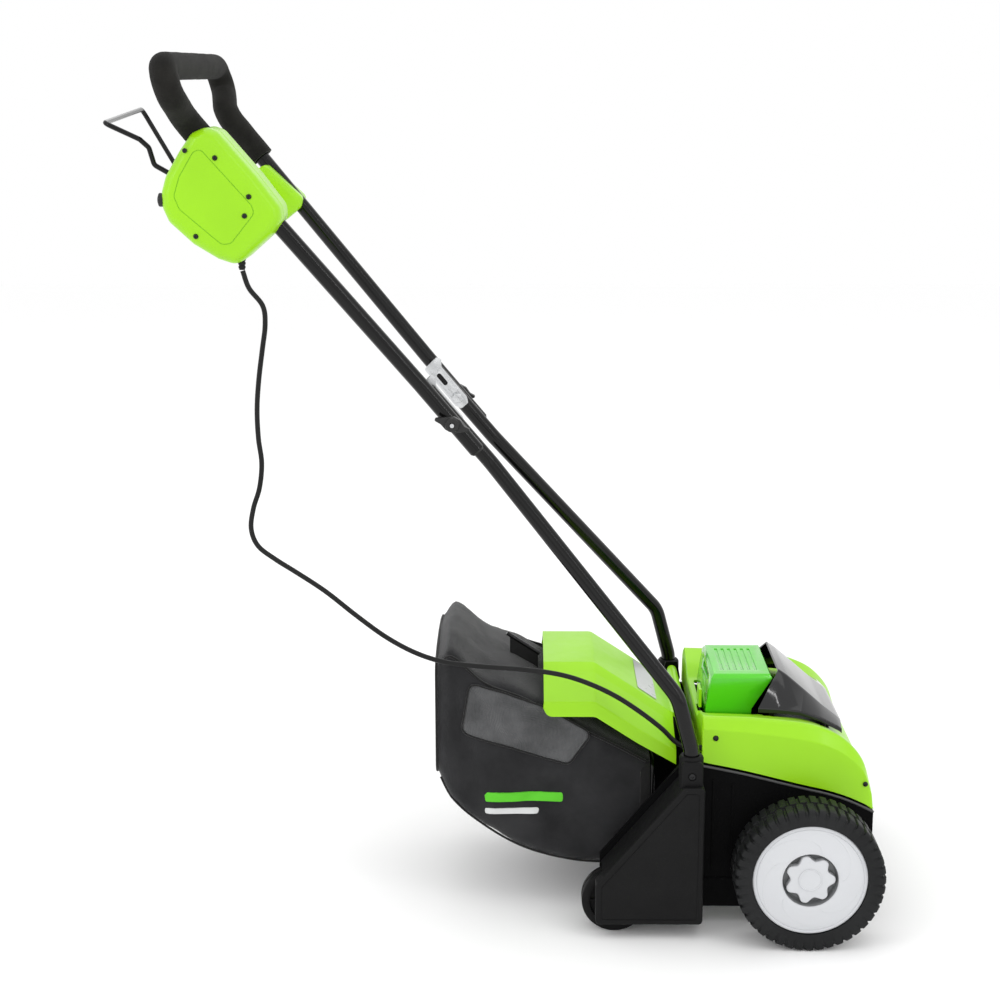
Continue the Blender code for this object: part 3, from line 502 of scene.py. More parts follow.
def woven(name, colour, light, pitch, depth, roughness=0.8, sheen=0.25):
    """Plain weave, made of two sets of bands at right angles in each of the three planes."""
    made = Shader(name, colour, roughness, specular=0.3, sheen=sheen)
    made.bsdf.inputs["Sheen Roughness"].default_value = 0.4
    split = made.node("ShaderNodeSeparateXYZ")
    made.links.new(made.place, split.inputs["Vector"])
    x, y, z = (split.outputs[k] for k in "XYZ")
    along = made.math("ADD", x, made.math("MULTIPLY", y, 0.6))
    warp = made.math("SINE", made.math("MULTIPLY", along, 2 * math.pi / pitch), 0.0)
    weft = made.math("SINE", made.math("MULTIPLY", z, 2 * math.pi / pitch), 0.0)
    cross = made.math("SINE", made.math("MULTIPLY", y, 2 * math.pi / pitch), 0.0)
    weave = made.math("ADD", made.math("MULTIPLY", warp, weft), made.math("MULTIPLY", warp, cross))
    slow = made.noise(14.0, 5.0, 0.6)
    shade = made.math("ADD", made.math("MULTIPLY", weave, 0.10), slow)
    made.tint(shade, colour, light, 0.30, 0.75)
    made.bump(weave, depth, 0.0003)
    made.bump(made.noise(55.0, 3.0), 0.10, 0.002)
    return made


SHADERS = {
    "lime": moulded("lime_plastic", (0.300, 0.655, 0.004), 0.34, coat=0.10),
    "green": moulded("battery_green", (0.075, 0.56, 0.008), 0.20, coat=0.6, depth=0.10),
    "panel": spark_textured("textured_black_plastic", (0.0062, 0.0062, 0.0064), 0.52, 0.13),
    "deck": spark_textured("deck_black_plastic", (0.0030, 0.0030, 0.0032), 0.60, 0.06),
    # ledge: black plastic lifted to grey, a painted highlight along the deck's ledge
    "ledge": spark_textured("ledge_plastic_painted_highlight", (0.060, 0.060, 0.060), 0.45, 0.4),
    "dark": spark_textured("dark_grey_plastic", (0.018, 0.018, 0.018), 0.42, 0.3),
    # dark_green: the battery green darkened, painted shade for the back of the grip slot
    "dark_green": moulded("battery_green_painted_shade", (0.012, 0.10, 0.006), 0.40),
    "piano": moulded("piano_black", (0.004, 0.004, 0.005), 0.06, coat=0.35, depth=0.02, by=0.10),
    "tube": painted("black_powder_coat", (0.003, 0.003, 0.003), 0.14),
    "pale": moulded("pale_grey_plastic", (0.58, 0.59, 0.61), 0.36, coat=0.1, depth=0.15, by=0.02),
    "tread": rubbery("tread_rubber", (0.010, 0.0105, 0.011), 0.52),
    "rubber": rubbery("soft_rubber", (0.009, 0.009, 0.009), 0.38, 500.0),
    "belt": rubbery("belt_rubber", (0.012, 0.012, 0.012), 0.70, 1200.0),
    "foam": foamed("foam_sleeve", (0.0150, 0.0145, 0.0130)),
    "nylon": woven("black_nylon", (0.006, 0.006, 0.007), (0.026, 0.026, 0.028), 0.0011, 0.45),
    "net": woven("bag_netting", (0.040, 0.041, 0.043), (0.150, 0.152, 0.156), 0.0016, 0.9, 0.7, 0.5),
    "piping": woven("bag_piping", (0.004, 0.004, 0.004), (0.013, 0.013, 0.013), 0.0012, 0.6),
    "zinc": plated("zinc_plate", (0.60, 0.61, 0.62), 0.30),
    "steel": plated("spring_steel", (0.34, 0.34, 0.35), 0.36, (1, 1, 12)),
    "screw": plated("black_oxide", (0.035, 0.035, 0.036), 0.38),
    "cast": plated("cast_alloy", (0.46, 0.47, 0.48), 0.48, (1, 1, 1)),
    # recess: a grey darker than the pale hub, painted shade for the hubs' recesses
    "recess": moulded("hub_recess_painted_shade", (0.20, 0.205, 0.21), 0.30, coat=0.3, depth=0.1, by=0.05),
    "label": moulded("label_film", (0.46, 0.47, 0.47), 0.30, coat=0.5, depth=0.05, by=0.08),
    "print_green": moulded("print_green", (0.10, 0.55, 0.02), 0.70, depth=0.3),
    "print_white": moulded("print_white", (0.62, 0.63, 0.63), 0.70, depth=0.3),
}
MAT = {key: shader.mat for key, shader in SHADERS.items()}


# ------------------------------------------------------------------ stage, camera and light
def stage():
    """White floor, soft studio light, and the camera at the product's three-quarter side view."""
    scene = bpy.context.scene
    floor = sheet("floor", [[(-6, y, 0), (6, y, 0)] for y in (-5.0, 7.0)])
    white = Shader("studio_white", (0.99, 0.99, 0.99), 0.9, specular=0.1)
    floor.data.materials.append(white.mat)
    camera = bpy.data.objects.new("camera", bpy.data.cameras.new("camera"))
    scene.collection.objects.link(camera)
    camera.location = (0.0315, -2.3307, 1.0319)
    yaw, pitch, roll = -0.0134, -0.2242, 0.0019
    camera.rotation_euler = (math.pi / 2 + pitch, roll, -yaw)
    camera.data.sensor_width = 36
    camera.data.lens = 1.8818 * 36
    scene.camera = camera
    scene.view_settings.view_transform = "Standard"

    def softbox(name, place, target, size, power, colour=(1, 1, 1)):
        light = bpy.data.lights.new(name, "AREA")
        light.shape = "RECTANGLE"
        light.size, light.size_y = size
        light.energy = power
        light.color = colour
        obj = bpy.data.objects.new(name, light)
        obj.location = place
        obj.rotation_euler = (Vector(target) - Vector(place)).to_track_quat("-Z", "Y").to_euler()
        scene.collection.objects.link(obj)

    softbox("top_light", (0.1, 0.2, 2.9), (0.0, 0.0, 0.4), (2.6, 2.0), 10)
    softbox("left_light", (-2.6, -1.6, 1.7), (0.0, 0.0, 0.45), (1.2, 2.2), 7)
    softbox("right_light", (2.6, -1.4, 1.6), (0.1, 0.0, 0.4), (1.0, 2.2), 6)
    softbox("front_fill", (0.3, -3.4, 1.6), (0.0, 0.0, 0.4), (2.4, 1.4), 4)
    softbox("rim_light", (0.2, 2.8, 2.2), (0.0, 0.0, 0.5), (2.8, 1.2), 6)
    softbox("left_strip", (-1.9, -1.9, 1.9), (0.0, 0.0, 0.5), (0.07, 2.6), 9)
    softbox("right_strip", (1.9, -1.7, 2.1), (0.0, 0.0, 0.5), (0.07, 2.6), 8)
    world = bpy.data.worlds.new("studio")
    scene.world = world
    world.use_nodes = True
    world.node_tree.nodes["Background"].inputs["Color"].default_value = (1, 1, 1, 1)
    world.node_tree.nodes["Background"].inputs["Strength"].default_value = 1.0


stage()


# ------------------------------------------------------------------ power cable
CABLE_R = 0.003
CABLE_ROUTE = (
    (-0.2970, -0.146, 0.8063), (-0.2900, -0.147, 0.786), (-0.2745, -0.149, 0.766),
    (-0.2720, -0.151, 0.744), (-0.2760, -0.152, 0.715), (-0.2810, -0.153, 0.680),
    (-0.2840, -0.154, 0.645), (-0.2835, -0.154, 0.610), (-0.2805, -0.154, 0.580),
    (-0.2840, -0.154, 0.550), (-0.2920, -0.154, 0.525), (-0.2955, -0.154, 0.500),
    (-0.2880, -0.154, 0.479), (-0.2680, -0.155, 0.463), (-0.2420, -0.155, 0.446),
    (-0.2080, -0.156, 0.423), (-0.1700, -0.157, 0.392), (-0.1350, -0.158, 0.366),
    (-0.1000, -0.159, 0.347), (-0.0650, -0.160, 0.336), (-0.0200, -0.161, 0.331),
    (0.0250, -0.162, 0.328), (0.0700, -0.162, 0.322), (0.1050, -0.161, 0.311),
    (0.1400, -0.160, 0.294), (0.1720, -0.158, 0.272), (0.1980, -0.154, 0.250),
    (0.2150, -0.148, 0.231), (0.2295, -0.146, 0.222),
)


def power_cable():
    """Cable that hangs free from the switch box to the hood, as one fixed mesh."""
    path = smooth_path(CABLE_ROUTE, 6)
    cable = as_mesh(wire("power_cable_sheath", path, CABLE_R, MAT["rubber"], resolution=6))
    smooth_again(cable, 60)
    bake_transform(cable)
    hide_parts("power_cable")


power_cable()


# ------------------------------------------------------------------ handle
JOINTS = {joint["name"]: joint for joint in frame["joints"]}
TUBE_R, TUBE_WALL = 0.0095, 0.0015
SOCKET_X, SOCKET_Y = 0.2315, 0.190
SOCKET_BASE, SOCKET_TOP = 0.186, 0.230
PIVOT = Vector(JOINTS["handle_fold"]["pos_m"])
LOWER_TUBE_Y, UPPER_TUBE_Y, OVERLAP = 0.084, 0.104, 0.045
LOWER_BEND = Vector((0.214, 0.190, 0.302))
UPPER_BEND = Vector((-0.357, 0.150, 0.979))
HANDLE_CORNER = Vector((-0.374, 0.240, 1.038))
FOAM_R, FOAM_BORE = 0.016, 0.0102
GRIP_BEND_R, GRIP_SHARE = 0.038, 0.62
BOLT_R = 0.003
BAIL_R, BAIL_Y = 0.003, 0.118
BAIL_PIVOT = Vector(JOINTS["bail_pull"]["pos_m"])


def at_side(point, side):
    return Vector((point[0], side * abs(point[1]), point[2]))


def along_lower(side):
    foot = Vector((SOCKET_X, side * SOCKET_Y, SOCKET_BASE + 0.006))
    bend = at_side(LOWER_BEND, side)
    flat = Vector((PIVOT.x, side * LOWER_TUBE_Y, PIVOT.z))
    rise = (flat - Vector((bend.x, flat.y, bend.z))).normalized()
    mouth = Vector((foot.x, foot.y, SOCKET_TOP + 0.006))
    return [foot, mouth, bend, flat - rise * 0.070, flat + rise * OVERLAP]


def upper_rise():
    return Vector((UPPER_BEND.x - PIVOT.x, 0, UPPER_BEND.z - PIVOT.z)).normalized()


def along_upper(side):
    flat = Vector((PIVOT.x, side * UPPER_TUBE_Y, PIVOT.z))
    rise = upper_rise()
    return [flat - rise * OVERLAP, flat + rise * 0.060, at_side(UPPER_BEND, side),
            at_side(HANDLE_CORNER, side)]


def end_plug(name, at, heading, body):
    """Black plastic plug pressed into a tube's open end."""
    heading = heading.normalized()
    black = MAT["dark"]
    plug = cylinder(name, at - heading * 0.010, at + heading * 0.0022, TUBE_R - TUBE_WALL - 0.0002, black)
    lip = cylinder("lip", at + heading * 0.0002, at + heading * 0.0028, TUBE_R - 0.0004, black, 40,
                   TUBE_R - 0.0020)
    dress(merge([plug, lip]), body)


def bolt_hole(side, near, far):
    """A cutter along the handle joint's bolt, between two distances from the middle."""
    start, end = ((PIVOT.x, side * y, PIVOT.z) for y in (near, far))
    return cylinder("hole", start, end, BOLT_R + GAP, None, 24)


def handle_tubes():
    """Two lower tubes, and the upper one that runs from joint to joint through the grip."""
    for label, side in SIDES:
        line = rounded_path(along_lower(side), 0.040, 12)
        lower = sleeve("lower_tube_" + label, line, TUBE_R, TUBE_R - TUBE_WALL, MAT["tube"], 14)
        smooth_again(cut(lower, bolt_hole(side, 0.060, 0.100)), 40)
        dress(lower, "chassis", "lower_handle_" + label)
        end_plug("lower_tube_plug_" + label, line[-1], line[-1] - line[-2], "chassis")
    points = along_upper(RIGHT) + list(reversed(along_upper(LEFT)))
    line = rounded_path(points, GRIP_BEND_R, 14, GRIP_SHARE)
    upper = sleeve("upper_tube", line, TUBE_R, TUBE_R - TUBE_WALL, MAT["tube"], 14)
    smooth_again(cut(upper, bolt_hole(RIGHT, 0.090, 0.120), bolt_hole(LEFT, 0.090, 0.120)), 40)
    dress(upper, "upper_handle", "upper_handle")
    end_plug("upper_tube_plug_right", line[0], line[0] - line[1], "upper_handle")
    end_plug("upper_tube_plug_left", line[-1], line[-1] - line[-2], "upper_handle")


def foam_grip():
    """Foam sleeve over the top of the handle, with faint dents in its skin."""
    ends = []
    for side, slide in ((RIGHT, 0.12), (LEFT, 0.178)):
        straight = along_upper(side)
        ends.append([straight[2].lerp(straight[1], slide), *straight[2:]])
    line = rounded_path(ends[0] + list(reversed(ends[1])), GRIP_BEND_R, 16, GRIP_SHARE)
    dense = []
    for a, b in zip(line, line[1:]):
        count = max(1, int((b - a).length / 0.004))
        dense += [a.lerp(b, k / count) for k in range(count)]
    dense.append(line[-1])
    foam = sleeve("foam_sleeve", dense, FOAM_R - 0.0002, FOAM_BORE, MAT["foam"], 14)
    for vertex in foam.data.vertices:
        dent = 0.00035 * noise.noise(vertex.co * 60) + 0.00012 * noise.noise(vertex.co * 320)
        vertex.co += vertex.normal * dent
    dress(foam, "upper_handle", "foam_grip")


def handle_joint(label, side):
    x, z = PIVOT.x, PIVOT.z
    shank = turned("joint_bolt_shank_" + label, [
        (0.0, 0.0705), (BOLT_R, 0.0705), (BOLT_R, 0.1250), (BOLT_R - 0.0005, 0.1290), (0.0, 0.1290)],
        (x, z), MAT["zinc"], 32, mirror=side)
    head_outline = [(x + 0.0070 * math.cos(math.pi * k / 3), z + 0.0070 * math.sin(math.pi * k / 3))
                    for k in range(6)]
    head = bake(bevel(prism("head", head_outline, side * 0.0665, side * 0.0708, MAT["zinc"]), 0.0006, 2))
    bolt = merge([shank, head], "carriage_bolt_" + label)
    dress(bolt, "upper_handle", "joint_bolt_" + label)
    rise = upper_rise()
    across = Vector((rise.z, 0, -rise.x))

    def at(s, t):
        return x + rise.x * s + across.x * t, z + rise.z * s + across.z * t

    corners = ((-0.014, -0.006), (-0.014, 0.006), (-0.006, 0.0095), (0.044, 0.0095), (0.052, 0.016),
               (0.058, 0.012), (0.056, -0.0095), (-0.006, -0.0095))
    outline = rounded_outline([at(s, t) for s, t in corners], 0.003, 4)
    plate = prism("plate", outline, side * 0.0713, side * 0.0742, MAT["zinc"])
    slot_corners = [at(s, t) for s, t in ((0.022, -0.0030), (0.022, 0.0030), (0.040, 0.0030),
                                          (0.040, -0.0030))]
    slot_hole = rounded_outline(slot_corners, 0.0029, 6)
    cut(plate, cylinder("hole", (x, side * 0.06, z), (x, side * 0.08, z), BOLT_R + GAP, None, 32),
        prism("slot", slot_hole, side * 0.060, side * 0.080))
    bake(bevel(plate, 0.0005, 2, 40))
    rib_corners = [at(s, t) for s, t in ((0.008, 0.0052), (0.008, 0.0072), (0.044, 0.0072),
                                         (0.044, 0.0052))]
    rib = prism("rib", rounded_outline(rib_corners, 0.0009, 3), side * 0.0704, side * 0.0718, MAT["zinc"])
    plate = merge([plate, bake(bevel(rib, 0.0004, 2))], "latch_plate_" + label)
    dress(plate, "chassis", "clamp_plate_" + label)
    wing = ((-0.0255, 0.0075), (-0.0140, 0.0010), (-0.0080, -0.0060), (0.0020, -0.0105), (0.0250, -0.0075),
            (0.0145, -0.0020), (0.0095, 0.0055), (0.0020, 0.0095), (-0.0110, 0.0085))
    outline = rounded_outline([(x + dx, z + dz) for dx, dz in wing], 0.0030, 4)
    knob = prism("knob", outline, side * 0.1143, side * 0.1232, MAT["dark"])
    boss = turned("boss", [(0.0034, 0.1136), (0.0090, 0.1136), (0.0094, 0.1150), (0.0086, 0.1252),
                           (0.0078, 0.1262), (0.0034, 0.1262)], (x, z), MAT["dark"], 48, mirror=side)
    bore = cylinder("bore", (x, side * 0.10, z), (x, side * 0.14, z), 0.0050, None, 32)
    bake(bevel(cut(knob, bore), 0.0014, 3, 50))
    knob = merge([knob, boss], "wing_nut_" + label)
    dress(knob, "wing_knob_" + label, "wing_knob_" + label)


def domed(name, loops, mat):
    """A shell lofted through (y, outline) loops, each outline in X and Z."""
    return loft(name, [[(x, y, z) for x, z in outline] for y, outline in loops], mat)


BOX_OUTLINE = (    # (x, z), anticlockwise seen from -Y
    (-0.3300, 0.9710), (-0.3470, 0.9640), (-0.3620, 0.9430), (-0.3780, 0.9160), (-0.3835, 0.8980),
    (-0.3830, 0.8800), (-0.3760, 0.8640), (-0.3490, 0.8390), (-0.3210, 0.8220), (-0.3020, 0.8158),
    (-0.2920, 0.8200), (-0.2580, 0.8500), (-0.2465, 0.8660), (-0.2480, 0.8810), (-0.2740, 0.9160),
    (-0.3170, 0.9660))
LEFT_BOX_OUTLINE = (
    (-0.3020, 0.9165), (-0.3235, 0.9025), (-0.3310, 0.8900), (-0.2980, 0.8430), (-0.2850, 0.8395),
    (-0.2580, 0.8610), (-0.2555, 0.8730))
BOX_OUTER, BOX_SPLIT, BOX_INNER, BOX_WALL = 0.180, 0.150, 0.102, 0.003
LEFT_BOX_INNER, LEFT_BOX_OUTER = 0.108, 0.162
BOX_PANEL = (    # the outer half's inset cover, as (x, z)
    (-0.3350, 0.9470), (-0.2790, 0.8840), (-0.2760, 0.8745), (-0.3040, 0.8400), (-0.3150, 0.8390),
    (-0.3620, 0.8790), (-0.3680, 0.8940), (-0.3610, 0.9160), (-0.3440, 0.9440))
BOX_GLAND = (-0.2975, -0.146)    # x, y
BUTTON, BUTTON_R = (-0.164, 0.889), 0.0079    # y, z
HOOD_GLAND = (-0.146, 0.222)    # y, z
BOX_SCREWS = ((-0.3530, 0.9450), (-0.3193, 0.9367), (-0.2823, 0.8934), (-0.2878, 0.8718), (-0.3441, 0.8486))


def line_cutter(side, radius, start, end):
    """A straight cutter along the upper tube, between two distances back from its bend."""
    straight = along_upper(side)
    heading = (straight[2] - straight[1]).normalized()
    return cylinder("line_cutter", straight[2] - heading * start, straight[2] - heading * end, radius,
                    None, 48)


def bail_slot(side, low, high, reach):
    p = BAIL_PIVOT
    fan = [(p.x + 0.008, p.z - 0.006)]
    for k in range(9):
        turn = math.radians(high + (low - high) * k / 8)
        fan.append((p.x + reach * math.cos(turn), p.z + reach * math.sin(turn)))
    return prism("bail_slot", fan, side * (BAIL_Y - 0.0055), side * (BAIL_Y + 0.0055))


def screw_head(name, centre, heading, radius, body, node=None):
    """A pan head with a cross recess, facing along the heading."""
    profile = ((0.0, 0.0), (radius, 0.0), (radius, 0.35 * radius), (0.86 * radius, 0.56 * radius),
               (0.55 * radius, 0.66 * radius), (0.0, 0.70 * radius))
    head = spun(name, profile, MAT["screw"], 28)
    arm, wide = 0.55 * radius, 0.15 * radius
    for x, y in ((arm, wide), (wide, arm)):
        cut(head, box("cross", (-x, -y, 0.36 * radius), (x, y, radius)))
    aim(smooth_again(head, 30), centre, heading)
    dress(head, body, node)


def switch_box():
    """Two lime half-shells round the right tube; the outer one has an inset cover and five screws."""
    outline = rounded_outline(BOX_OUTLINE, 0.014, 4)
    halves = (
        ("switch_cover_outer", "switch_box_outer",
         ((BOX_SPLIT + GAP, 0.0008), (BOX_SPLIT + 0.0015, 0.0), (0.1660, 0.0), (0.1715, 0.0012),
          (0.1755, 0.0034), (0.1782, 0.0062), (0.1795, 0.0086), (BOX_OUTER, 0.0112))),
        ("switch_cover_inner", "switch_box_inner",
         ((BOX_SPLIT - GAP, 0.0008), (BOX_SPLIT - 0.0015, 0.0), (0.1120, 0.0), (0.1070, 0.0012),
          (0.1038, 0.0036), (0.1023, 0.0062), (BOX_INNER, 0.0095))))
    for name, node, stations in halves:
        shell = domed(name, [(-y, inset(outline, d) if d else outline) for y, d in stations], MAT["lime"])
        if node.endswith("outer"):
            near, far = BOX_SPLIT - 0.01, BOX_OUTER - BOX_WALL
        else:
            near, far = BOX_INNER + BOX_WALL, BOX_SPLIT + 0.01
        cut(shell, prism("pocket", inset(outline, 0.0100), -near, -far),
            line_cutter(RIGHT, TUBE_R + GAP, -0.020, 0.220),
            line_cutter(RIGHT, FOAM_R + 0.0006, -0.010, 0.056),
            cylinder("gland_bore", (*BOX_GLAND, 0.8050), (*BOX_GLAND, 0.8300), 0.0055))
        if node.endswith("outer"):
            cut(shell, cylinder("button_bore", (-0.400, *BUTTON), (-0.362, *BUTTON), BUTTON_R + GAP, None,
                                48))
            panel = rounded_outline(BOX_PANEL, 0.009, 6)
            groove = prism("groove", panel, -BOX_OUTER - 0.002, -BOX_OUTER + 0.0009)
            cut(groove, prism("core", inset(panel, 0.0011), -BOX_OUTER - 0.004, -BOX_OUTER + 0.004))
            cut(shell, groove)
            for x, z in BOX_SCREWS:
                cut(shell, cylinder("seat", (x, -BOX_OUTER - 0.002, z), (x, -BOX_OUTER + 0.0006, z),
                                    0.0034))
        else:
            cut(shell, bail_slot(RIGHT, 110, 165, 0.110))
        smooth_again(shell, 32)
        dress(shell, "upper_handle", node)
    for number, (x, z) in enumerate(BOX_SCREWS, 1):
        screw_head(f"box_screw_head_{number}", (x, -BOX_OUTER + 0.0002, z), (0, -1, 0), 0.0028,
                   "upper_handle", f"box_screw_{number}")
    button = cylinder("button", (-0.3878, *BUTTON), (-0.374, *BUTTON), BUTTON_R, MAT["dark"], 48)
    bake(bevel(button, 0.0018, 4, 60))
    ring = cylinder("ring", (-0.3886, *BUTTON), (-0.3868, *BUTTON), 0.0046, MAT["dark"], 40)
    piece = merge([button, bake(bevel(ring, 0.0006, 2, 60))], "lock_off_cap")
    dress(piece, "lock_off_button", "lock_off_button")


def left_box():
    """Small lime housing that carries the bail's left end."""
    outline = rounded_outline(LEFT_BOX_OUTLINE, 0.008, 4)
    low, high = LEFT_BOX_INNER, LEFT_BOX_OUTER
    stations = ((low, 0.0060), (low + 0.0016, 0.0022), (low + 0.0050, 0.0), (0.1345, 0.0), (0.1350, 0.0007),
                (0.1356, 0.0007), (0.1361, 0.0), (high - 0.0065, 0.0), (high - 0.0022, 0.0022),
                (high, 0.0068))
    shell = domed("bail_housing", [(y, inset(outline, d) if d else outline) for y, d in stations],
                  MAT["lime"])
    cut(shell, prism("pocket", inset(outline, 0.006), low + BOX_WALL, high - BOX_WALL),
        line_cutter(LEFT, TUBE_R + GAP, 0.010, 0.220), bail_slot(LEFT, 110, 178, 0.060))
    smooth_again(shell, 32)
    dress(shell, "upper_handle", "left_box")


def bail_lever():
    p = BAIL_PIVOT
    right = [(p.x, -0.127, p.z), (p.x, -BAIL_Y, p.z), (-0.3830, -BAIL_Y, 0.9165),
             (-0.4000, -BAIL_Y, 0.9260), (-0.4055, -BAIL_Y, 0.9460), (-0.4160, -BAIL_Y, 0.9555),
             (-0.4560, -BAIL_Y, 0.9740)]
    left = [(-0.4590, BAIL_Y, 0.9850), (-0.4180, BAIL_Y, 0.9130), (-0.3420, BAIL_Y, 0.8920),
            (p.x, BAIL_Y, p.z), (p.x, 0.1265, p.z)]
    wire("bail_wire", rounded_path(right + left, 0.008, 8), BAIL_R, MAT["tube"], "bail_lever",
         "bail_lever")


def gland(name, start, end, ribs, body, node, tip):
    """A ribbed rubber strain relief that tapers from its socket to the cable."""
    heading = Vector(end) - Vector(start)
    span = heading.length
    low, high = tip
    profile = [(0.0, 0.0)]
    for k in range(ribs):
        a, b, c = k / ribs, (k + 0.55) / ribs, (k + 1) / ribs
        ra, rb, rc = (low + (high - low) * t for t in (a, b, c))
        profile += [(ra, a * span), (rb, b * span), (rb * 0.84, b * span + 0.0002),
                    (rc * 0.84, c * span - 0.0002)]
    profile.append((0.0, span))
    dress(aim(spun(name, profile, MAT["rubber"]), start, heading), body, node)


handle_tubes()
foam_grip()
for word, sign in SIDES:
    handle_joint(word, sign)
switch_box()
left_box()
bail_lever()
gland("cable_relief_box", (*BOX_GLAND, 0.8250), (*BOX_GLAND, 0.8072), 4, "upper_handle", "cable_gland_box",
      (0.0050, 0.0040))
gland("cable_relief_hood", (0.2500, *HOOD_GLAND), (0.2315, *HOOD_GLAND), 4, "chassis", "cable_gland_hood",
      (0.0040, 0.0038))


# ------------------------------------------------------------------ shell surfaces
def soft_line(points, reach, steps=4):
    """A line with each inner corner rounded, always with the same number of points."""
    points = [Vector(p) for p in points]
    if not hasattr(reach, "__len__"):
        reach = [reach] * (len(points) - 2)
    made = [points[0]]
    for a, b, c, r in zip(points, points[1:], points[2:], reach):
        before = b + (a - b).normalized() * min(r, 0.46 * (a - b).length)
        after = b + (c - b).normalized() * min(r, 0.46 * (c - b).length)
        for k in range(steps + 1):
            t = k / steps
            made.append(before * (1 - t) ** 2 + b * 2 * t * (1 - t) + after * t * t)
    made.append(points[-1])
    return made


def both_sides(near):
    return near + [(x, -y, z) for x, y, z in reversed(near)]


def thin_shell(name, rows, thickness, mat):
    """A skin through rows of points, its inside face this far below the rows."""
    skin = sheet(name, rows, mat)
    bm = bmesh.new()
    bm.from_mesh(skin.data)
    bmesh.ops.remove_doubles(bm, verts=bm.verts, dist=0.00003)
    bmesh.ops.dissolve_degenerate(bm, edges=bm.edges, dist=0.00003)
    bmesh.ops.recalc_face_normals(bm, faces=bm.faces)
    bm.to_mesh(skin.data)
    bm.free()
    up = sum(p.normal.z * p.area for p in skin.data.polygons)
    if up < 0:
        skin.data.flip_normals()
    modifier(skin, "SOLIDIFY", thickness=thickness, offset=-1, use_even_offset=True, use_rim=True)
    bake(skin)
    modifier(skin, "TRIANGULATE", quad_method="BEAUTY")
    return bake(skin)


# ------------------------------------------------------------------ covers
HOOD_EDGE = (
    (0.2478, 0.2090), (0.2850, 0.2015), (0.3127, 0.1950), (0.3698, 0.1805), (0.4000, 0.1735),
    (0.4249, 0.1655), (0.4463, 0.1560), (0.4585, 0.1497))
HOOD_SHOULDER = (0.2626, 0.2615, 0.2604, 0.2544, 0.2460, 0.2320, 0.2067)
HOOD_MIDDLE = (0.2400, 0.2390, 0.2380, 0.2370, 0.2290, 0.2170, 0.1960)
HOOD_COLUMNS = (0.160, 0.154, 0.142, 0.100, 0.072)
HOOD_SOFTNESS = (0.0012, 0.0055, 0.006, 0.006)
HOOD_SCREWS = (("rear", 0.2640, 0.238, 0.1565), ("front", 0.4480, 0.180, 0.1560))


def top_hood():
    """Lime cover with raised shoulders, a crease along each side, and a battery opening."""
    stations = []
    for (x, low), high, mid in zip(HOOD_EDGE, HOOD_SHOULDER, HOOD_MIDDLE):
        heights = (low, low + 0.75 * (high - low), high, high - 0.011, mid)
        stations.append([(x, -y, z) for y, z in zip(HOOD_COLUMNS, heights)])
    front_x, front_z = HOOD_EDGE[-1]
    nose = (front_z, 0.165, 0.1720, 0.1700, 0.1680)
    stations.append([(front_x - 0.0015, -y, z) for y, z in zip(HOOD_COLUMNS, nose)])
    lines = [smooth_path(line, 5) for line in zip(*stations)]
    rows = [list(row) for row in zip(*lines)]
    back_x, back_z = HOOD_EDGE[0]
    back_edge = [(back_x, -y, back_z) for y in HOOD_COLUMNS]
    back_wall = [(back_x, p.y, back_z + 0.92 * (p.z - back_z)) for p in rows[0]]
    back_round = [(max(p.x, back_x + 0.0016), p.y, p.z) for p in rows[0]]
    front_edge = [(front_x, -y, front_z) for y in HOOD_COLUMNS]
    rows = [back_edge, back_wall, back_round, *rows[1:], front_edge]
    reach = HOOD_SOFTNESS + HOOD_SOFTNESS[::-1]
    rows = [soft_line(both_sides([tuple(p) for p in row]), reach, 5) for row in rows]
    hood = thin_shell("hood_cover", rows, 0.003, MAT["lime"])
    half = [(0.2555, 0.0665), (0.3320, 0.0665), (0.3320, 0.0850), (0.4150, 0.0850)]
    plan = [(x, -y) for x, y in half] + [(x, y) for x, y in reversed(half)]
    plan = rounded_outline(plan, 0.006, 4)
    cut(hood, loft("opening", [[(x, y, z) for x, y in plan] for z in (0.185, 0.300)]),
        box("release_slot", (0.2505, -0.0583, 0.230), (0.2560, -0.0317, 0.290)),
        cylinder("gland_bore", (0.235, *HOOD_GLAND), (0.270, *HOOD_GLAND), 0.0045))
    x, z = HOOD_SCREWS[0][1:3]
    for label, side in SIDES:
        cut(hood, cylinder("seat", (x, side * 0.120, z), (x, side * 0.175, z), 0.0036, None, 24))
    smooth_again(hood, 28)
    modifier(hood, "WEIGHTED_NORMAL", keep_sharp=True, weight=60)
    dress(hood, "chassis", "top_hood")
    for word, x, z, outer in HOOD_SCREWS:
        for label, side in SIDES:
            sunk = 0.0012 if word == "rear" else -0.0006
            screw_head(f"hood_screw_head_{word}_{label}", (x, side * (outer - sunk), z), (0, side, 0),
                       0.0031, "chassis", f"hood_screw_{word}_{label}")
    for label, side in SIDES:
        # The real black ledge under the hood's edge, coloured grey as a painted highlight
        bead = [(x, side * 0.1604, z - 0.0046) for x, z in HOOD_EDGE]
        wire("deck_ledge_" + label, smooth_path(bead, 4), 0.0016, MAT["ledge"], "chassis",
             resolution=4)


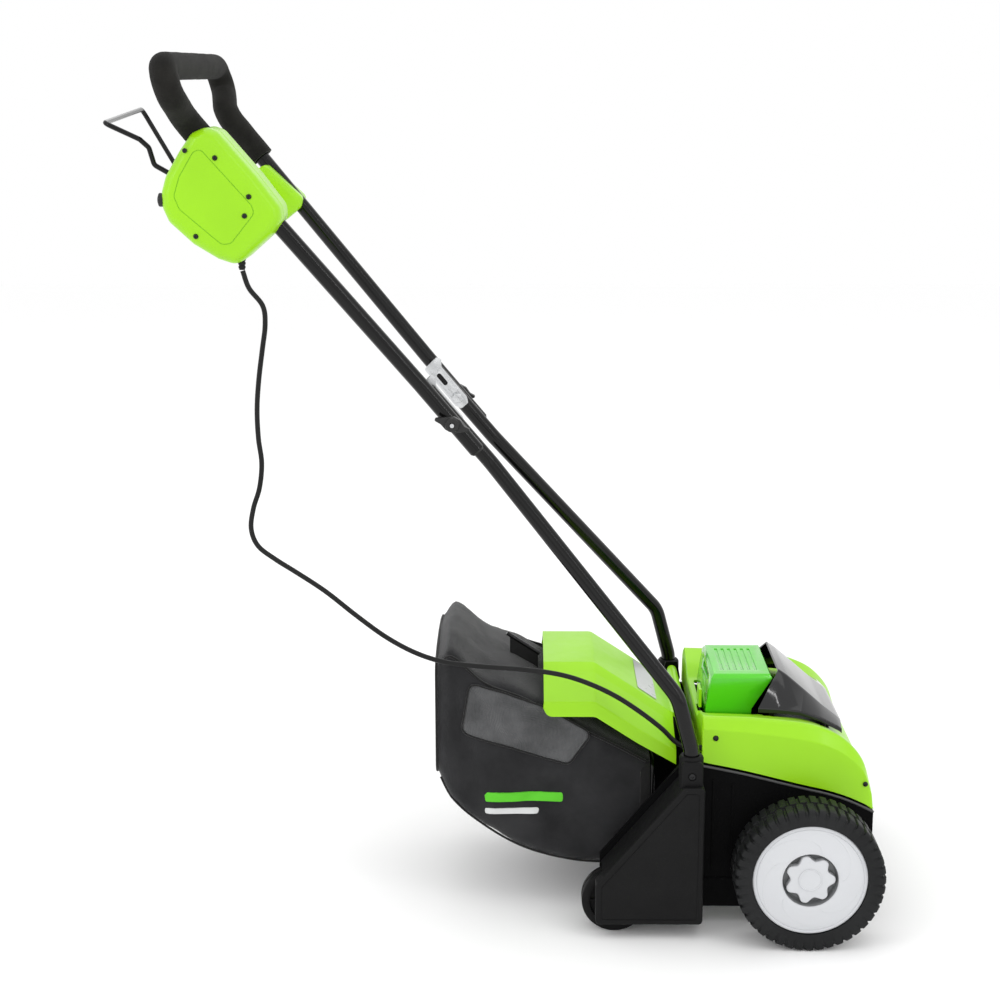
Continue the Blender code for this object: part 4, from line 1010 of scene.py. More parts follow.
def battery_bay():
    """Black collar round the battery opening, and the dock under the pack."""
    outer = rounded_outline([(0.2562, -0.0658), (0.3312, -0.0658), (0.3312, -0.0840), (0.4140, -0.0840),
                             (0.4140, 0.0840), (0.3312, 0.0840), (0.3312, 0.0658), (0.2562, 0.0658)],
                             0.0055, 4)
    inner = inset(outer, 0.0016)
    loops = [[(x, y, z) for x, y in line] for line, z in (
        (outer, 0.1950), (outer, 0.2280), (inner, 0.2280), (inner, 0.1950))]
    collar = loft("battery_bay_collar", loops + [loops[0]], MAT["panel"], caps=False)
    dress(collar, "chassis")
    dock = box("dock", (0.2662, -0.0298, 0.1634), (0.3118, 0.0298, 0.1758), MAT["panel"])
    slots = [box("slot", (0.2715 + 0.009 * k, -0.022, 0.1715), (0.2741 + 0.009 * k, 0.022, 0.1790))
             for k in range(4)]
    bake(bevel(cut(dock, *slots), 0.0012, 2))
    dock.name = "battery_socket"
    dress(dock, "chassis", "battery_dock")


def battery_pack():
    """Removable green pack with a grip slot, grooves across its top, and the release key behind it."""
    loops = []
    for x0, x1, half, z in ((0.2640, 0.3140, 0.0600, 0.1765), (0.2600, 0.3180, 0.0630, 0.2440),
                            (0.2665, 0.3430, 0.0650, 0.2850), (0.2700, 0.3400, 0.0610, 0.2900)):
        loops.append([(x0, -half, z), (x1, -half, z), (x1, half, z), (x0, half, z)])
    pack = loft("battery", loops, MAT["green"])
    modifier(pack, "TRIANGULATE")
    bake(pack)
    cut(pack, box("grip", (0.2400, -0.030, 0.2712), (0.2705, 0.030, 0.2798)))
    ribs = [box("rib", (0.2800 + 0.0085 * k, -0.0450, 0.2884), (0.2834 + 0.0085 * k, 0.0450, 0.2912))
            for k in range(6)]
    cut(pack, *ribs)
    bake(bevel(pack, 0.0016, 3, 30))
    smooth_again(pack, 35)
    dress(pack, "battery_pack", "battery_pack")
    # Darker green sheet over the grip slot's back wall: painted shade in the slot
    shade_sheet = box("battery_grip_painted_shade", (0.2672, -0.0298, 0.2716), (0.2700, 0.0298, 0.2794),
                 MAT["dark_green"])
    bake(bevel(shade_sheet, 0.0006, 2))
    dress(shade_sheet, "battery_pack")
    key = box("key", (0.2515, -0.0578, 0.2442), (0.2551, -0.0322, 0.2678), MAT["lime"])
    grips = [box("grip", (0.2500, -0.0560, 0.2480 + 0.0040 * k), (0.2520, -0.0340, 0.2492 + 0.0040 * k))
             for k in range(4)]
    bake(bevel(cut(key, *grips), 0.0006, 2))
    key.name = "battery_release_key"
    dress(key, "battery_release", "battery_release")


def front_fairing():
    """Piano-black cap in front of the battery, with soft facets, on four posts."""
    base = ((0.3225, 0.2560), (0.3450, 0.2550), (0.3769, 0.2520), (0.4020, 0.2435), (0.4240, 0.2320),
            (0.4275, 0.2290))
    ridge = ((0.3510, 0.2955), (0.3620, 0.2880), (0.3870, 0.2665), (0.4080, 0.2480), (0.4275, 0.2330),
             (0.4310, 0.2295))
    lines = []
    for y, foot, top, drop in ((-0.0955, 1.0, 0.0, 0.0055), (-0.0948, 1.0, 0.0, 0.0),
                               (-0.060, 0.0, 1.0, 0.0)):
        line = [(foot * b[0] + top * t[0], y, foot * b[1] + top * t[1] - drop) for b, t in zip(base, ridge)]
        lines.append(soft_line(line, 0.003, 3))
    rows = [soft_line(both_sides([tuple(p) for p in row]), [0.0015, 0.003, 0.003, 0.0015], 4)
            for row in zip(*lines)]
    cap = thin_shell("fairing", rows, 0.0025, MAT["piano"])
    smooth_again(cap, 24)
    dress(cap, "chassis", "front_fairing")
    posts = []
    for side in (RIGHT, LEFT):
        for x, z in ((0.3400, 0.2545), (0.4050, 0.2420)):
            foot, top = (x, side * 0.087, z - 0.022), (x, side * 0.087, z)
            posts.append(cylinder("post", foot, top, 0.0035, MAT["panel"], 20, 0.0028))
    piece = merge(posts, "fairing_posts")
    dress(piece, "chassis")


# ------------------------------------------------------------------ rear flap
HINGE_X, HINGE_Z = 0.232, 0.232


def rear_flap():
    """Lime cover over the bag's mouth: a flat top, folded sides, a slope down to the hinge."""
    columns = ((0.135, -0.049), (0.133, -0.031), (0.080, -0.009), (0.067, 0.0))
    stations = []
    for x, top, drop, lift in ((0.0545, 0.307, 0.0, 0.010), (0.0575, 0.307, 0.0, 0.003),
                               (0.0625, 0.307, 0.0, 0.0), (0.1180, 0.307, 0.0, 0.0),
                               (0.1700, 0.2730, 0.0, 0.0), (0.2050, 0.2490, 0.004, 0.0),
                               (0.2180, 0.2395, 0.006, 0.0)):
        heights = [top + z + (drop if z < -0.02 else 0) + (lift if z < -0.04 else 0) for _, z in columns]
        stations.append([(x, -y, z) for (y, _), z in zip(columns, heights)])
    lines = [soft_line(line, 0.0035, 4) for line in zip(*stations)]
    rows = [soft_line(both_sides([tuple(p) for p in row]), 0.0022, 4) for row in zip(*lines)]
    flap = thin_shell("flap_cover", rows, 0.003, MAT["lime"])
    smooth_again(flap, 20)
    barrel = turned("flap_barrel", [(0.0033, -0.1338), (0.0060, -0.1338), (0.0065, -0.1332),
                                    (0.0065, 0.1332), (0.0060, 0.1338), (0.0033, 0.1338)],
                    (HINGE_X, HINGE_Z), MAT["lime"], 32)
    web_outline = [(0.2125, 0.2378), (0.2320, 0.2290), (0.2335, 0.2345), (0.2160, 0.2412)]
    web = prism("web", rounded_outline(web_outline, 0.0012, 3), -0.066, 0.066, MAT["lime"])
    cut(web, cylinder("bore", (HINGE_X, -0.1, HINGE_Z), (HINGE_X, 0.1, HINGE_Z), 0.0033))
    ribs = []
    for y in (-0.058, -0.029, 0.029, 0.058):
        ribs.append(prism("rib", [(0.0600, 0.3042), (0.1180, 0.3042), (0.1690, 0.2700), (0.2040, 0.2462),
                                  (0.2040, 0.2430), (0.1670, 0.2660), (0.1150, 0.2990), (0.0600, 0.3000)],
                          y - 0.0008, y + 0.0008, MAT["lime"]))
    piece = merge([flap, barrel, web] + ribs, "flap")
    smooth_again(piece, 20)
    dress(piece, "rear_flap", "rear_flap")
    slope = (Vector((0.2050, 0.2490)) - Vector((0.1700, 0.2730))).normalized()
    normal = Vector((-slope.y, slope.x))
    plan = rounded_outline([(0.002, -0.059), (0.031, -0.059), (0.031, 0.059), (0.002, 0.059)], 0.003, 4)
    loops = []
    for height in (0.0004, 0.0009):
        loops.append([(0.1720 + s * slope.x + height * normal.x, y,
                       0.2716 + s * slope.y + height * normal.y)
                      for s, y in plan])
    sticker = loft("flap_sticker", loops, MAT["label"])
    dress(sticker, "rear_flap")
    pin = turned("flap_pin", [(0.0, -0.1420), (0.0024, -0.1420), (0.0030, -0.1414), (0.0030, 0.1414),
                              (0.0024, 0.1420), (0.0, 0.1420)],
                 (HINGE_X, HINGE_Z), MAT["zinc"], 32, closed=False)
    dress(pin, "chassis", "flap_hinge_pin")


# ------------------------------------------------------------------ lower body
REAR_X, REAR_R, REAR_INNER, REAR_OUTER, REAR_AXLE_R = 0.141, 0.040, 0.167, 0.190, 0.005
SOCKET_SCREW_Z = 0.208


def side_panel(label, side):
    """Black fender over a rear wheel: flat face, rounded edges, and the handle's socket on top."""
    outline = [(0.117, 0.020), (0.247, 0.020), (0.247, 0.196), (0.222, 0.196), (0.117, 0.071)]
    panel = prism("panel", rounded_outline(outline, 0.005, 4), side * 0.1603, side * 0.215, MAT["panel"])
    bake(bevel(panel, 0.0024, 3))
    cut(panel, prism("pocket", inset(outline, 0.004), side * 0.150, side * 0.211),
        cylinder("wheel_well", (REAR_X, side * 0.150, REAR_R), (REAR_X, side * 0.194, REAR_R),
                 REAR_R + 0.004, None, 64))
    frame_line = rounded_outline(inset(outline, 0.0065), 0.004, 4)
    groove = prism("groove", frame_line, side * 0.2144, side * 0.220)
    cut(groove, prism("core", inset(frame_line, 0.0012), side * 0.210, side * 0.225))
    cut(panel, groove)
    collar_profile = ((0.0148, SOCKET_BASE), (0.0148, 0.2265), (0.0140, 0.2285), (0.0128, SOCKET_TOP))
    for (r0, z0), (r1, z1) in zip(collar_profile, collar_profile[1:]):
        ring = cylinder("collar", (SOCKET_X, side * SOCKET_Y, z0 - 0.0002),
                        (SOCKET_X, side * SOCKET_Y, z1), r0, None, 64, r1)
        cut(panel, ring, operation="UNION")
    lug_outline = [(0.2180, 0.190), (0.2450, 0.190), (0.2440, 0.2260), (0.2190, 0.2260)]
    lug = prism("lug", rounded_outline(lug_outline, 0.004, 4), side * 0.2010, side * 0.2075)
    bake(bevel(lug, 0.0012, 2))
    cut(panel, lug, operation="UNION")
    cut(panel, cylinder("socket_bore", (SOCKET_X, side * SOCKET_Y, 0.190),
                        (SOCKET_X, side * SOCKET_Y, 0.240), TUBE_R + 0.0003, None, 48),
        cylinder("screw_seat", (SOCKET_X, side * 0.2058, SOCKET_SCREW_Z),
                 (SOCKET_X, side * 0.215, SOCKET_SCREW_Z), 0.0050))
    smooth_again(panel, 32)
    panel.name = "fender_" + label
    dress(panel, "chassis", "side_panel_" + label)
    screw_head("socket_screw_" + label, (SOCKET_X, side * 0.2056, SOCKET_SCREW_Z), (0, side, 0), 0.0042,
               "chassis")


def deck_details():
    """The CAD deck with softened edges, and ribs and a shelf on its outer walls."""
    deck = frame["nodes"]["deck_housing"]
    deck.data.materials.clear()
    deck.data.materials.append(MAT["deck"])
    modifier(deck, "WELD", merge_threshold=0.00002)
    modifier(deck, "DECIMATE", decimate_type="DISSOLVE", angle_limit=math.radians(1.5))
    bevel(deck, 0.0016, 2, 30)
    for label, side in SIDES:
        parts = []
        low, high = sorted((side * 0.1599, side * 0.1612))
        for x, top in ((0.2620, 0.1985), (0.2860, 0.1935), (0.4280, 0.1580)):
            rib = box("rib", (x - 0.0012, low, 0.070), (x + 0.0012, high, top - 0.012), MAT["deck"])
            parts.append(bake(bevel(rib, 0.0005, 2)))
        shelf = prism("shelf", [(0.2520, 0.0560), (0.3200, 0.0560), (0.3200, 0.0585), (0.2520, 0.0585)],
                      side * 0.1598, side * 0.1616, MAT["deck"])
        parts.append(bake(bevel(shelf, 0.0006, 2)))
        piece = merge(parts, "deck_ribs_" + label)
        dress(piece, "chassis")


top_hood()
battery_bay()
battery_pack()
front_fairing()
rear_flap()
for word, sign in SIDES:
    side_panel(word, sign)
deck_details()


# ------------------------------------------------------------------ wheels
WHEEL_X, WHEEL_R, HUB_R, HUB_RECESS_R = 0.372, 0.090, 0.069, 0.034
WHEEL_INNER, WHEEL_OUTER = 0.190, 0.245
AXLE_R = 0.006


def tyre(label, side):
    """Tyre with two rings of square shoulder blocks, half a pitch apart."""
    blocks, per_block = 44, 10
    segments = blocks * per_block
    inner, outer = WHEEL_INNER, WHEEL_OUTER
    middle = (inner + outer) / 2
    skin = ((HUB_R + 0.0004, inner + 0.0042), (0.0720, inner + 0.0030), (0.0755, inner + 0.0016),
            (0.0800, inner + 0.0008), (0.0838, inner + 0.0006), (0.0870, inner + 0.0010),
            (0.0888, inner + 0.0024), (WHEEL_R, inner + 0.0050), (WHEEL_R, inner + 0.0120),
            (WHEEL_R, middle - 0.0060), (WHEEL_R, middle - 0.0022), (WHEEL_R, middle - 0.0016),
            (WHEEL_R, middle + 0.0016), (WHEEL_R, middle + 0.0022), (WHEEL_R, middle + 0.0060),
            (WHEEL_R, outer - 0.0120), (WHEEL_R, outer - 0.0050), (0.0888, outer - 0.0024),
            (0.0870, outer - 0.0010), (0.0838, outer - 0.0006), (0.0800, outer - 0.0010),
            (0.0755, outer - 0.0018), (0.0720, outer - 0.0030), (HUB_R + 0.0004, outer - 0.0034))
    bm = bmesh.new()
    rings = []
    for k in range(segments):
        turn = 2 * math.pi * k / segments
        ring = []
        for r, y in skin:
            row = 0 if y < middle else 1
            phase = (k / per_block + 0.5 * row) % 1.0
            groove = 1.0 if phase < 0.20 else (0.0 if phase > 0.29 else 0.5)
            depth = 0.0
            if abs(y - middle) < 0.0018:
                depth = 0.0024
            elif r > 0.0860:
                depth = 0.0030 * groove
            elif r > 0.0790:
                depth = 0.0006 * groove
            sink = 0.0012 * groove if 0.079 < r < 0.0885 else 0.0
            place = y + sink if y < middle else y - sink
            ring.append(bm.verts.new((WHEEL_X + (r - depth) * math.cos(turn), side * place,
                                      WHEEL_R + (r - depth) * math.sin(turn))))
        rings.append(ring)
    bridge(bm, rings, closed=True)
    piece = add("tread_tyre_" + label, bm, MAT["tread"], 32)
    dress(piece, "front_wheel_" + label, "tyre_" + label)


def wheel_hub(label, side):
    """Pale disc with a shallow recess lined in painted shade, faint swirl lines, a seven-lobed cap and a round
    centre.
    """
    inner, outer = WHEEL_INNER, WHEEL_OUTER
    face = outer - 0.006
    floor = face - 0.012
    bore = AXLE_R + GAP
    hub = turned("disc_" + label, [
        (bore, inner + 0.012), (0.0200, inner + 0.012), (0.0215, inner + 0.0135), (0.0240, floor - 0.0025),
        (HUB_R - 0.012, floor - 0.0025), (HUB_R - 0.0045, inner + 0.004), (HUB_R - 0.0002, inner + 0.004),
        (HUB_R - 0.0002, face - 0.0008), (HUB_R - 0.0010, face - 0.0001), (HUB_R - 0.0026, face),
        (HUB_R - 0.0034, face - 0.0007), (HUB_R - 0.0046, face - 0.0007), (HUB_R - 0.0054, face + 0.0001),
        (0.0520, face + 0.0012), (0.0400, face + 0.0019), (HUB_RECESS_R + 0.0012, face + 0.0020),
        (HUB_RECESS_R, face + 0.0015), (HUB_RECESS_R - 0.0006, face + 0.0004),
        (HUB_RECESS_R - 0.0018, floor + 0.0012), (HUB_RECESS_R - 0.0030, floor), (bore, floor)],
        (WHEEL_X, WHEEL_R), MAT["pale"], 128, mirror=side)
    smooth_again(hub, 30)
    # Grey liner over the recess floor and wall: painted shade inside the recess
    cup = turned("hub_recess_painted_shade_" + label, [
        (0.0064, floor + 0.0001), (0.0309, floor + 0.0001), (0.0323, floor + 0.0014),
        (0.0335, face + 0.0004), (0.0334, face + 0.0004), (0.0321, floor + 0.0015),
        (0.0308, floor + 0.0003), (0.0064, floor + 0.0003)], (WHEEL_X, WHEEL_R), MAT["recess"], 96,
        mirror=side)
    dress(cup, "front_wheel_" + label)
    dress(hub, "front_wheel_" + label, "wheel_hub_" + label)
    lines = []
    for k in range(5):
        path = []
        for i in range(25):
            t = i / 24
            r = HUB_RECESS_R + 0.003 + (HUB_R - HUB_RECESS_R - 0.010) * t
            turn = 2 * math.pi * k / 5 + 1.25 * t * t
            rise = 0.0020 - 0.0019 * max(0.0, (r - 0.040) / 0.024)
            path.append((WHEEL_X + r * math.cos(turn), side * (face + rise - 0.0002),
                         WHEEL_R + r * math.sin(turn)))
        lines.append(as_mesh(wire("swirl", path, 0.0005, MAT["pale"], resolution=2)))
    piece = merge(lines, "hub_swirls_" + label)
    dress(piece, "front_wheel_" + label)
    lobes, points = 7, 140
    star = []
    for i in range(points):
        turn = 2 * math.pi * i / points
        wave = math.cos(lobes * turn)
        radius = min(0.0304, 0.0270 + 0.0034 * (wave if wave < 0 else wave * (1.6 - 0.6 * wave)))
        star.append((WHEEL_X + radius * math.cos(turn), WHEEL_R + radius * math.sin(turn)))
    cap = prism("cap", star, side * (floor + GAP), side * (face - 0.001), MAT["pale"])
    bake(bevel(cap, 0.0016, 4, 60))
    ring = turned("ring", [(0.0140, face - 0.0014), (0.0140, face - 0.0002), (0.0136, face + 0.0002),
                           (0.0128, face + 0.0002), (0.0122, face - 0.0005), (0.0, face - 0.0004),
                           (0.0, face - 0.0014)],
                  (WHEEL_X, WHEEL_R), MAT["pale"], 64, mirror=side)
    cap = merge([cap, ring], "star_cap_" + label)
    smooth_again(cap, 35)
    dress(cap, "front_wheel_" + label, "hub_cap_" + label)


def rear_wheel(label, side):
    """Small moulded wheel with a rim, a recessed web and eight ribs."""
    x, z, radius, inner, outer, bore = REAR_X, REAR_R, REAR_R, REAR_INNER, REAR_OUTER, REAR_AXLE_R + GAP
    wheel = turned("wheel", [
        (bore, inner + 0.001), (0.0100, inner + 0.001), (0.0105, inner + 0.0040), (0.0300, inner + 0.0040),
        (0.0305, inner + 0.0004), (radius - 0.003, inner), (radius - 0.0008, inner + 0.0010),
        (radius, inner + 0.003), (radius, inner + 0.0095), (radius - 0.0010, inner + 0.0100),
        (radius - 0.0010, outer - 0.0100), (radius, outer - 0.0095), (radius, outer - 0.003),
        (radius - 0.0008, outer - 0.0010), (radius - 0.003, outer), (0.0305, outer - 0.0004),
        (0.0300, outer - 0.0045), (0.0105, outer - 0.0045), (0.0100, outer - 0.001), (bore, outer - 0.001)],
        (x, z), MAT["panel"], 96, mirror=side)
    parts = [wheel]
    for k in range(8):
        turn = math.pi * k / 4
        along, across = Vector((math.cos(turn), math.sin(turn))), Vector((-math.sin(turn), math.cos(turn)))
        centre = Vector((x, z))
        outline = [tuple(centre + along * r + across * w) for r, w in ((0.0098, -0.0010), (0.0302, -0.0010),
                                                                     (0.0302, 0.0010), (0.0098, 0.0010))]
        parts.append(prism("rib", outline, side * (outer - 0.0050), side * (outer - 0.0018), MAT["panel"]))
    piece = merge(parts, "small_wheel_" + label)
    smooth_again(piece, 35)
    dress(piece, "rear_wheel_" + label, "rear_wheel_" + label)


def axle(name, x, z, radius, reach, groove):
    """A plated axle with chamfered ends and a clip groove near each."""
    half = [(0.0, reach), (radius - 0.0010, reach), (radius, reach - 0.0010),
            (radius, reach - groove + 0.0012), (radius - 0.0008, reach - groove + 0.0012),
            (radius - 0.0008, reach - groove), (radius, reach - groove)]
    profile = half + [(r, -y) for r, y in reversed(half)]
    piece = turned(name + "_bar", profile, (x, z), MAT["zinc"], 48, closed=False)
    dress(piece, "chassis", name)


# ------------------------------------------------------------------ drive
ROTOR_X, ROTOR_Z, ROTOR_CORE_R, TINE_COUNT = 0.298, 0.080, 0.014, 12
MOTOR_X, MOTOR_Z, MOTOR_R = 0.385, 0.197, 0.030
BELT_Y0, BELT_Y1 = 0.130, 0.140
MOTOR_PULLEY_R, ROTOR_PULLEY_R, BELT_THICK = 0.010, 0.028, 0.003


def tine_rotor():
    """Core tube with twelve hooked spring wires in clamps, set in a spiral, and its two bearings."""
    core = turned("core", [(0.0, -0.151), (0.0064, -0.151), (0.0070, -0.1504), (0.0070, -0.1245),
                           (0.0128, -0.124), (ROTOR_CORE_R, -0.1228), (ROTOR_CORE_R, 0.1228),
                           (0.0128, 0.124), (0.0070, 0.1245), (0.0070, 0.1504), (0.0064, 0.151),
                           (0.0, 0.151)],
                  (ROTOR_X, ROTOR_Z), MAT["steel"], 48, closed=False)
    parts = [core]
    for i in range(TINE_COUNT):
        turn = Matrix.Rotation(2 * math.pi * i * 5 / TINE_COUNT, 3, "Y")
        y = -0.112 + 0.224 * i / (TINE_COUNT - 1)
        clamp = box("clamp", (-0.0050, -0.0034, ROTOR_CORE_R - 0.002),
                    (0.0050, 0.0034, ROTOR_CORE_R + 0.0035), MAT["steel"])
        bake(bevel(clamp, 0.0008, 2))
        clamp.data.transform(Matrix.Translation((ROTOR_X, y, ROTOR_Z)) @ turn.to_4x4())
        parts.append(clamp)
        line = soft_line([(0.0, 0.0, ROTOR_CORE_R), (0.0, 0.0, 0.040), (-0.0015, 0.0, 0.0540),
                          (0.0012, 0.0, 0.0590)], 0.006, 5)
        path = [turn @ p + Vector((ROTOR_X, y, ROTOR_Z)) for p in line]
        parts.append(as_mesh(wire("tine", path, 0.0016, MAT["steel"], resolution=4)))
    rotor = merge(parts, "spring_tine_rotor")
    smooth_again(rotor, 40)
    dress(rotor, "tine_rotor", "tine_rotor")
    for label, side in SIDES:
        ring = turned("bearing_race_" + label, [
            (0.0074, 0.1449), (0.0094, 0.1449), (0.0096, 0.1455), (0.0112, 0.1455), (0.0114, 0.1449),
            (0.0136, 0.1449), (0.0139, 0.1453), (0.0139, 0.1512), (0.0136, 0.1516), (0.0074, 0.1516)],
            (ROTOR_X, ROTOR_Z), MAT["zinc"], 64, mirror=side)
        dress(ring, "chassis", "rotor_bearing_" + label)


def belt_loop(offset, count=260):
    """Points round both pulleys, evenly spaced, this far outside them."""
    run = Vector((MOTOR_X - ROTOR_X, MOTOR_Z - ROTOR_Z))
    heading = math.atan2(run.y, run.x)
    lean = math.acos((ROTOR_PULLEY_R - MOTOR_PULLEY_R) / run.length)
    points = []
    for centre, radius, first, last, steps in (
            ((MOTOR_X, MOTOR_Z), MOTOR_PULLEY_R, heading - lean, heading + lean, 24),
            ((ROTOR_X, ROTOR_Z), ROTOR_PULLEY_R, heading + lean, heading - lean + 2 * math.pi, 64)):
        for k in range(steps + 1):
            turn = first + (last - first) * k / steps
            points.append(Vector((centre[0] + (radius + offset) * math.cos(turn),
                                  centre[1] + (radius + offset) * math.sin(turn))))
    return evenly(points, count)


def drive():
    """Ribbed belt, two grooved pulleys, and a finned motor can."""
    inner, outer = belt_loop(GAP), belt_loop(BELT_THICK + GAP)
    teeth = []
    for k, (a, b) in enumerate(zip(inner, outer)):
        lift = 0.30 if k % 4 < 2 else 0.0
        teeth.append((a[0] + (b[0] - a[0]) * lift, a[1] + (b[1] - a[1]) * lift))
    y0, y1 = BELT_Y0 + 0.001, BELT_Y1 - 0.001
    loops = [[(x, y0, z) for x, z in teeth], [(x, y0, z) for x, z in outer], [(x, y1, z) for x, z in outer],
             [(x, y1, z) for x, z in teeth]]
    belt = loft("ribbed_belt", loops + [loops[0]], MAT["belt"], caps=False)
    smooth_again(belt, 30)
    dress(belt, "chassis", "drive_belt")

    def pulley(name, x, z, radius, bore, body, node, extra=()):
        y0, y1 = BELT_Y0, BELT_Y1 + 0.002
        wheel = turned(name, [(bore, y0), (radius - 0.0005, y0), (radius, y0 + 0.0004),
                              (radius, y0 + 0.0010), (radius - 0.0006, y0 + 0.0014),
                              (radius - 0.0006, y1 - 0.0034), (radius, y1 - 0.0030), (radius, y1 - 0.0004),
                              (radius - 0.0005, y1), (bore, y1)],
                       (x, z), MAT["zinc"], 72)
        piece = merge([wheel, *extra], name)
        smooth_again(piece, 35)
        dress(piece, body, node)

    shaft = turned("shaft", [(0.0, 0.0604), (0.0046, 0.0604), (0.0050, 0.0608), (0.0050, BELT_Y1 + 0.0014),
                             (0.0046, BELT_Y1 + 0.0018), (0.0, BELT_Y1 + 0.0018)],
                   (MOTOR_X, MOTOR_Z), MAT["zinc"], 36, closed=False)
    pulley("drive_pulley", MOTOR_X, MOTOR_Z, MOTOR_PULLEY_R, 0.0051, "motor_shaft", "motor_pulley",
           (shaft,))
    pulley("driven_pulley", ROTOR_X, ROTOR_Z, ROTOR_PULLEY_R, 0.0074, "tine_rotor", "rotor_pulley")
    profile = [(0.0, -0.050), (0.0220, -0.050), (0.0235, -0.0485)]
    for k in range(14):
        y = -0.046 + 0.0070 * k
        profile += [(MOTOR_R - 0.0030, y), (MOTOR_R - 0.0002, y + 0.0006), (MOTOR_R - 0.0002, y + 0.0030),
                    (MOTOR_R - 0.0030, y + 0.0036)]
    profile += [(MOTOR_R - 0.0030, 0.0560), (0.0235, 0.0585), (0.0110, 0.0585), (0.0105, 0.0600),
                (0.0, 0.0600)]
    can = turned("motor_can", profile, (MOTOR_X, MOTOR_Z), MAT["cast"], 64, closed=False)
    foot = box("motor_foot", (MOTOR_X - 0.024, -0.040, 0.1634), (MOTOR_X + 0.024, 0.046, 0.1720),
               MAT["cast"])
    bake(bevel(foot, 0.0012, 2))
    piece = merge([can, foot], "motor_body")
    smooth_again(piece, 35)
    dress(piece, "chassis", "motor")


for word, sign in SIDES:
    tyre(word, sign)
    wheel_hub(word, sign)
    rear_wheel(word, sign)
axle("front_axle", WHEEL_X, WHEEL_R, AXLE_R, WHEEL_OUTER - 0.019, 0.0060)
axle("rear_axle", REAR_X, REAR_R, REAR_AXLE_R, REAR_OUTER + 0.002, 0.0016)
tine_rotor()
drive()


# ------------------------------------------------------------------ grass bag
BAG_STATIONS = (    # x, half width, bottom, top at the side, extra height in the middle
    (-0.078, 0.112, 0.172, 0.318, 0.012), (-0.060, 0.122, 0.140, 0.334, 0.016),
    (-0.020, 0.127, 0.106, 0.302, 0.020), (0.030, 0.128, 0.077, 0.282, 0.016),
    (0.090, 0.127, 0.060, 0.248, 0.010), (0.140, 0.125, 0.056, 0.222, 0.006),
    (0.186, 0.122, 0.058, 0.196, 0.004))
NET_CORNERS = ((-0.0368, 0.2990), (0.0520, 0.2700), (0.1150, 0.2330), (0.0860, 0.1932), (-0.0481, 0.2323))
BAR_GREEN = ((-0.0200, 0.1560), (0.0800, 0.1560), (0.0800, 0.1430), (-0.0200, 0.1430))
BAR_WHITE = ((-0.0200, 0.1350), (0.0500, 0.1350), (0.0500, 0.1270), (-0.0200, 0.1270))
BAG_BACK, BAG_MOUTH = BAG_STATIONS[0][0], BAG_STATIONS[-1][0]
BAG_WIRE_R = 0.0025
BAG_ROD = ((0.008, -0.020, 0.3305), (0.029, -0.020, 0.3168), (0.0500, -0.020, 0.3033))


def bag_at(x):
    """Half width, bottom, top and crown of the bag at this x."""
    stations = BAG_STATIONS
    x = min(max(x, stations[0][0]), stations[-1][0])
    for i in range(len(stations) - 1):
        if x <= stations[i + 1][0]:
            break
    a, b = stations[i], stations[i + 1]
    before = stations[max(0, i - 1)]
    after = stations[min(len(stations) - 1, i + 2)]
    t = (x - a[0]) / (b[0] - a[0])
    values = []
    for k in range(1, 5):
        slope_a = (b[k] - before[k]) / max(1e-6, b[0] - before[0]) * (b[0] - a[0]) if i else b[k] - a[k]
        slope_b = (after[k] - a[k]) / max(1e-6, after[0] - a[0]) * (b[0] - a[0])
        values.append((2 * t ** 3 - 3 * t * t + 1) * a[k] + (t ** 3 - 2 * t * t + t) * slope_a
                      + (3 * t * t - 2 * t ** 3) * b[k] + (t ** 3 - t * t) * slope_b)
    return values


def fold(x, y, z):
    """How far the cloth sinks inward here: slack folds that run down from the rear top corners."""
    free = min(1.0, max(0.0, (0.176 - x) / 0.05))
    apex = Vector((-0.062, 0.336))
    away = Vector((x, z)) - apex
    turn = math.atan2(away.y, away.x)
    reach = min(1.0, away.length / 0.12)
    rays = 0.5 + 0.5 * math.sin(turn * 17.0 + 3.0 * noise.noise(Vector((x * 9, y * 7, z * 9))))
    loose = noise.noise(Vector((x * 16, y * 10, z * 24 - x * 14)))
    fine = noise.noise(Vector((x * 55, y * 40, z * 80 - x * 40)))
    depth = 0.0048 * rays ** 2 * reach * (1.2 - 0.6 * reach) + 0.0044 * max(0.0, loose) + 0.0010 * fine
    return free * depth


def bag_ring(x, count=112):
    half, low, high, crown = bag_at(x)
    outline = rounded_outline([
        (0.0, low - 0.0010), (half, low), (half, high), (half * 0.5, high + 0.7 * crown),
        (0.0, high + crown), (-half * 0.5, high + 0.7 * crown), (-half, high), (-half, low)], 0.019, 6)
    made = evenly(outline, count)
    centre = Vector((0.0, (low + high) / 2))
    ring = []
    for i, p in enumerate(made):
        tangent = made[(i + 1) % count] - made[i - 1]
        outward = Vector((tangent.y, -tangent.x)).normalized()
        if outward.dot(p - centre) < 0:
            outward = -outward
        sink = fold(x, p.x, p.y)
        ring.append((x, p.x - outward.x * sink, p.y - outward.y * sink))
    return ring


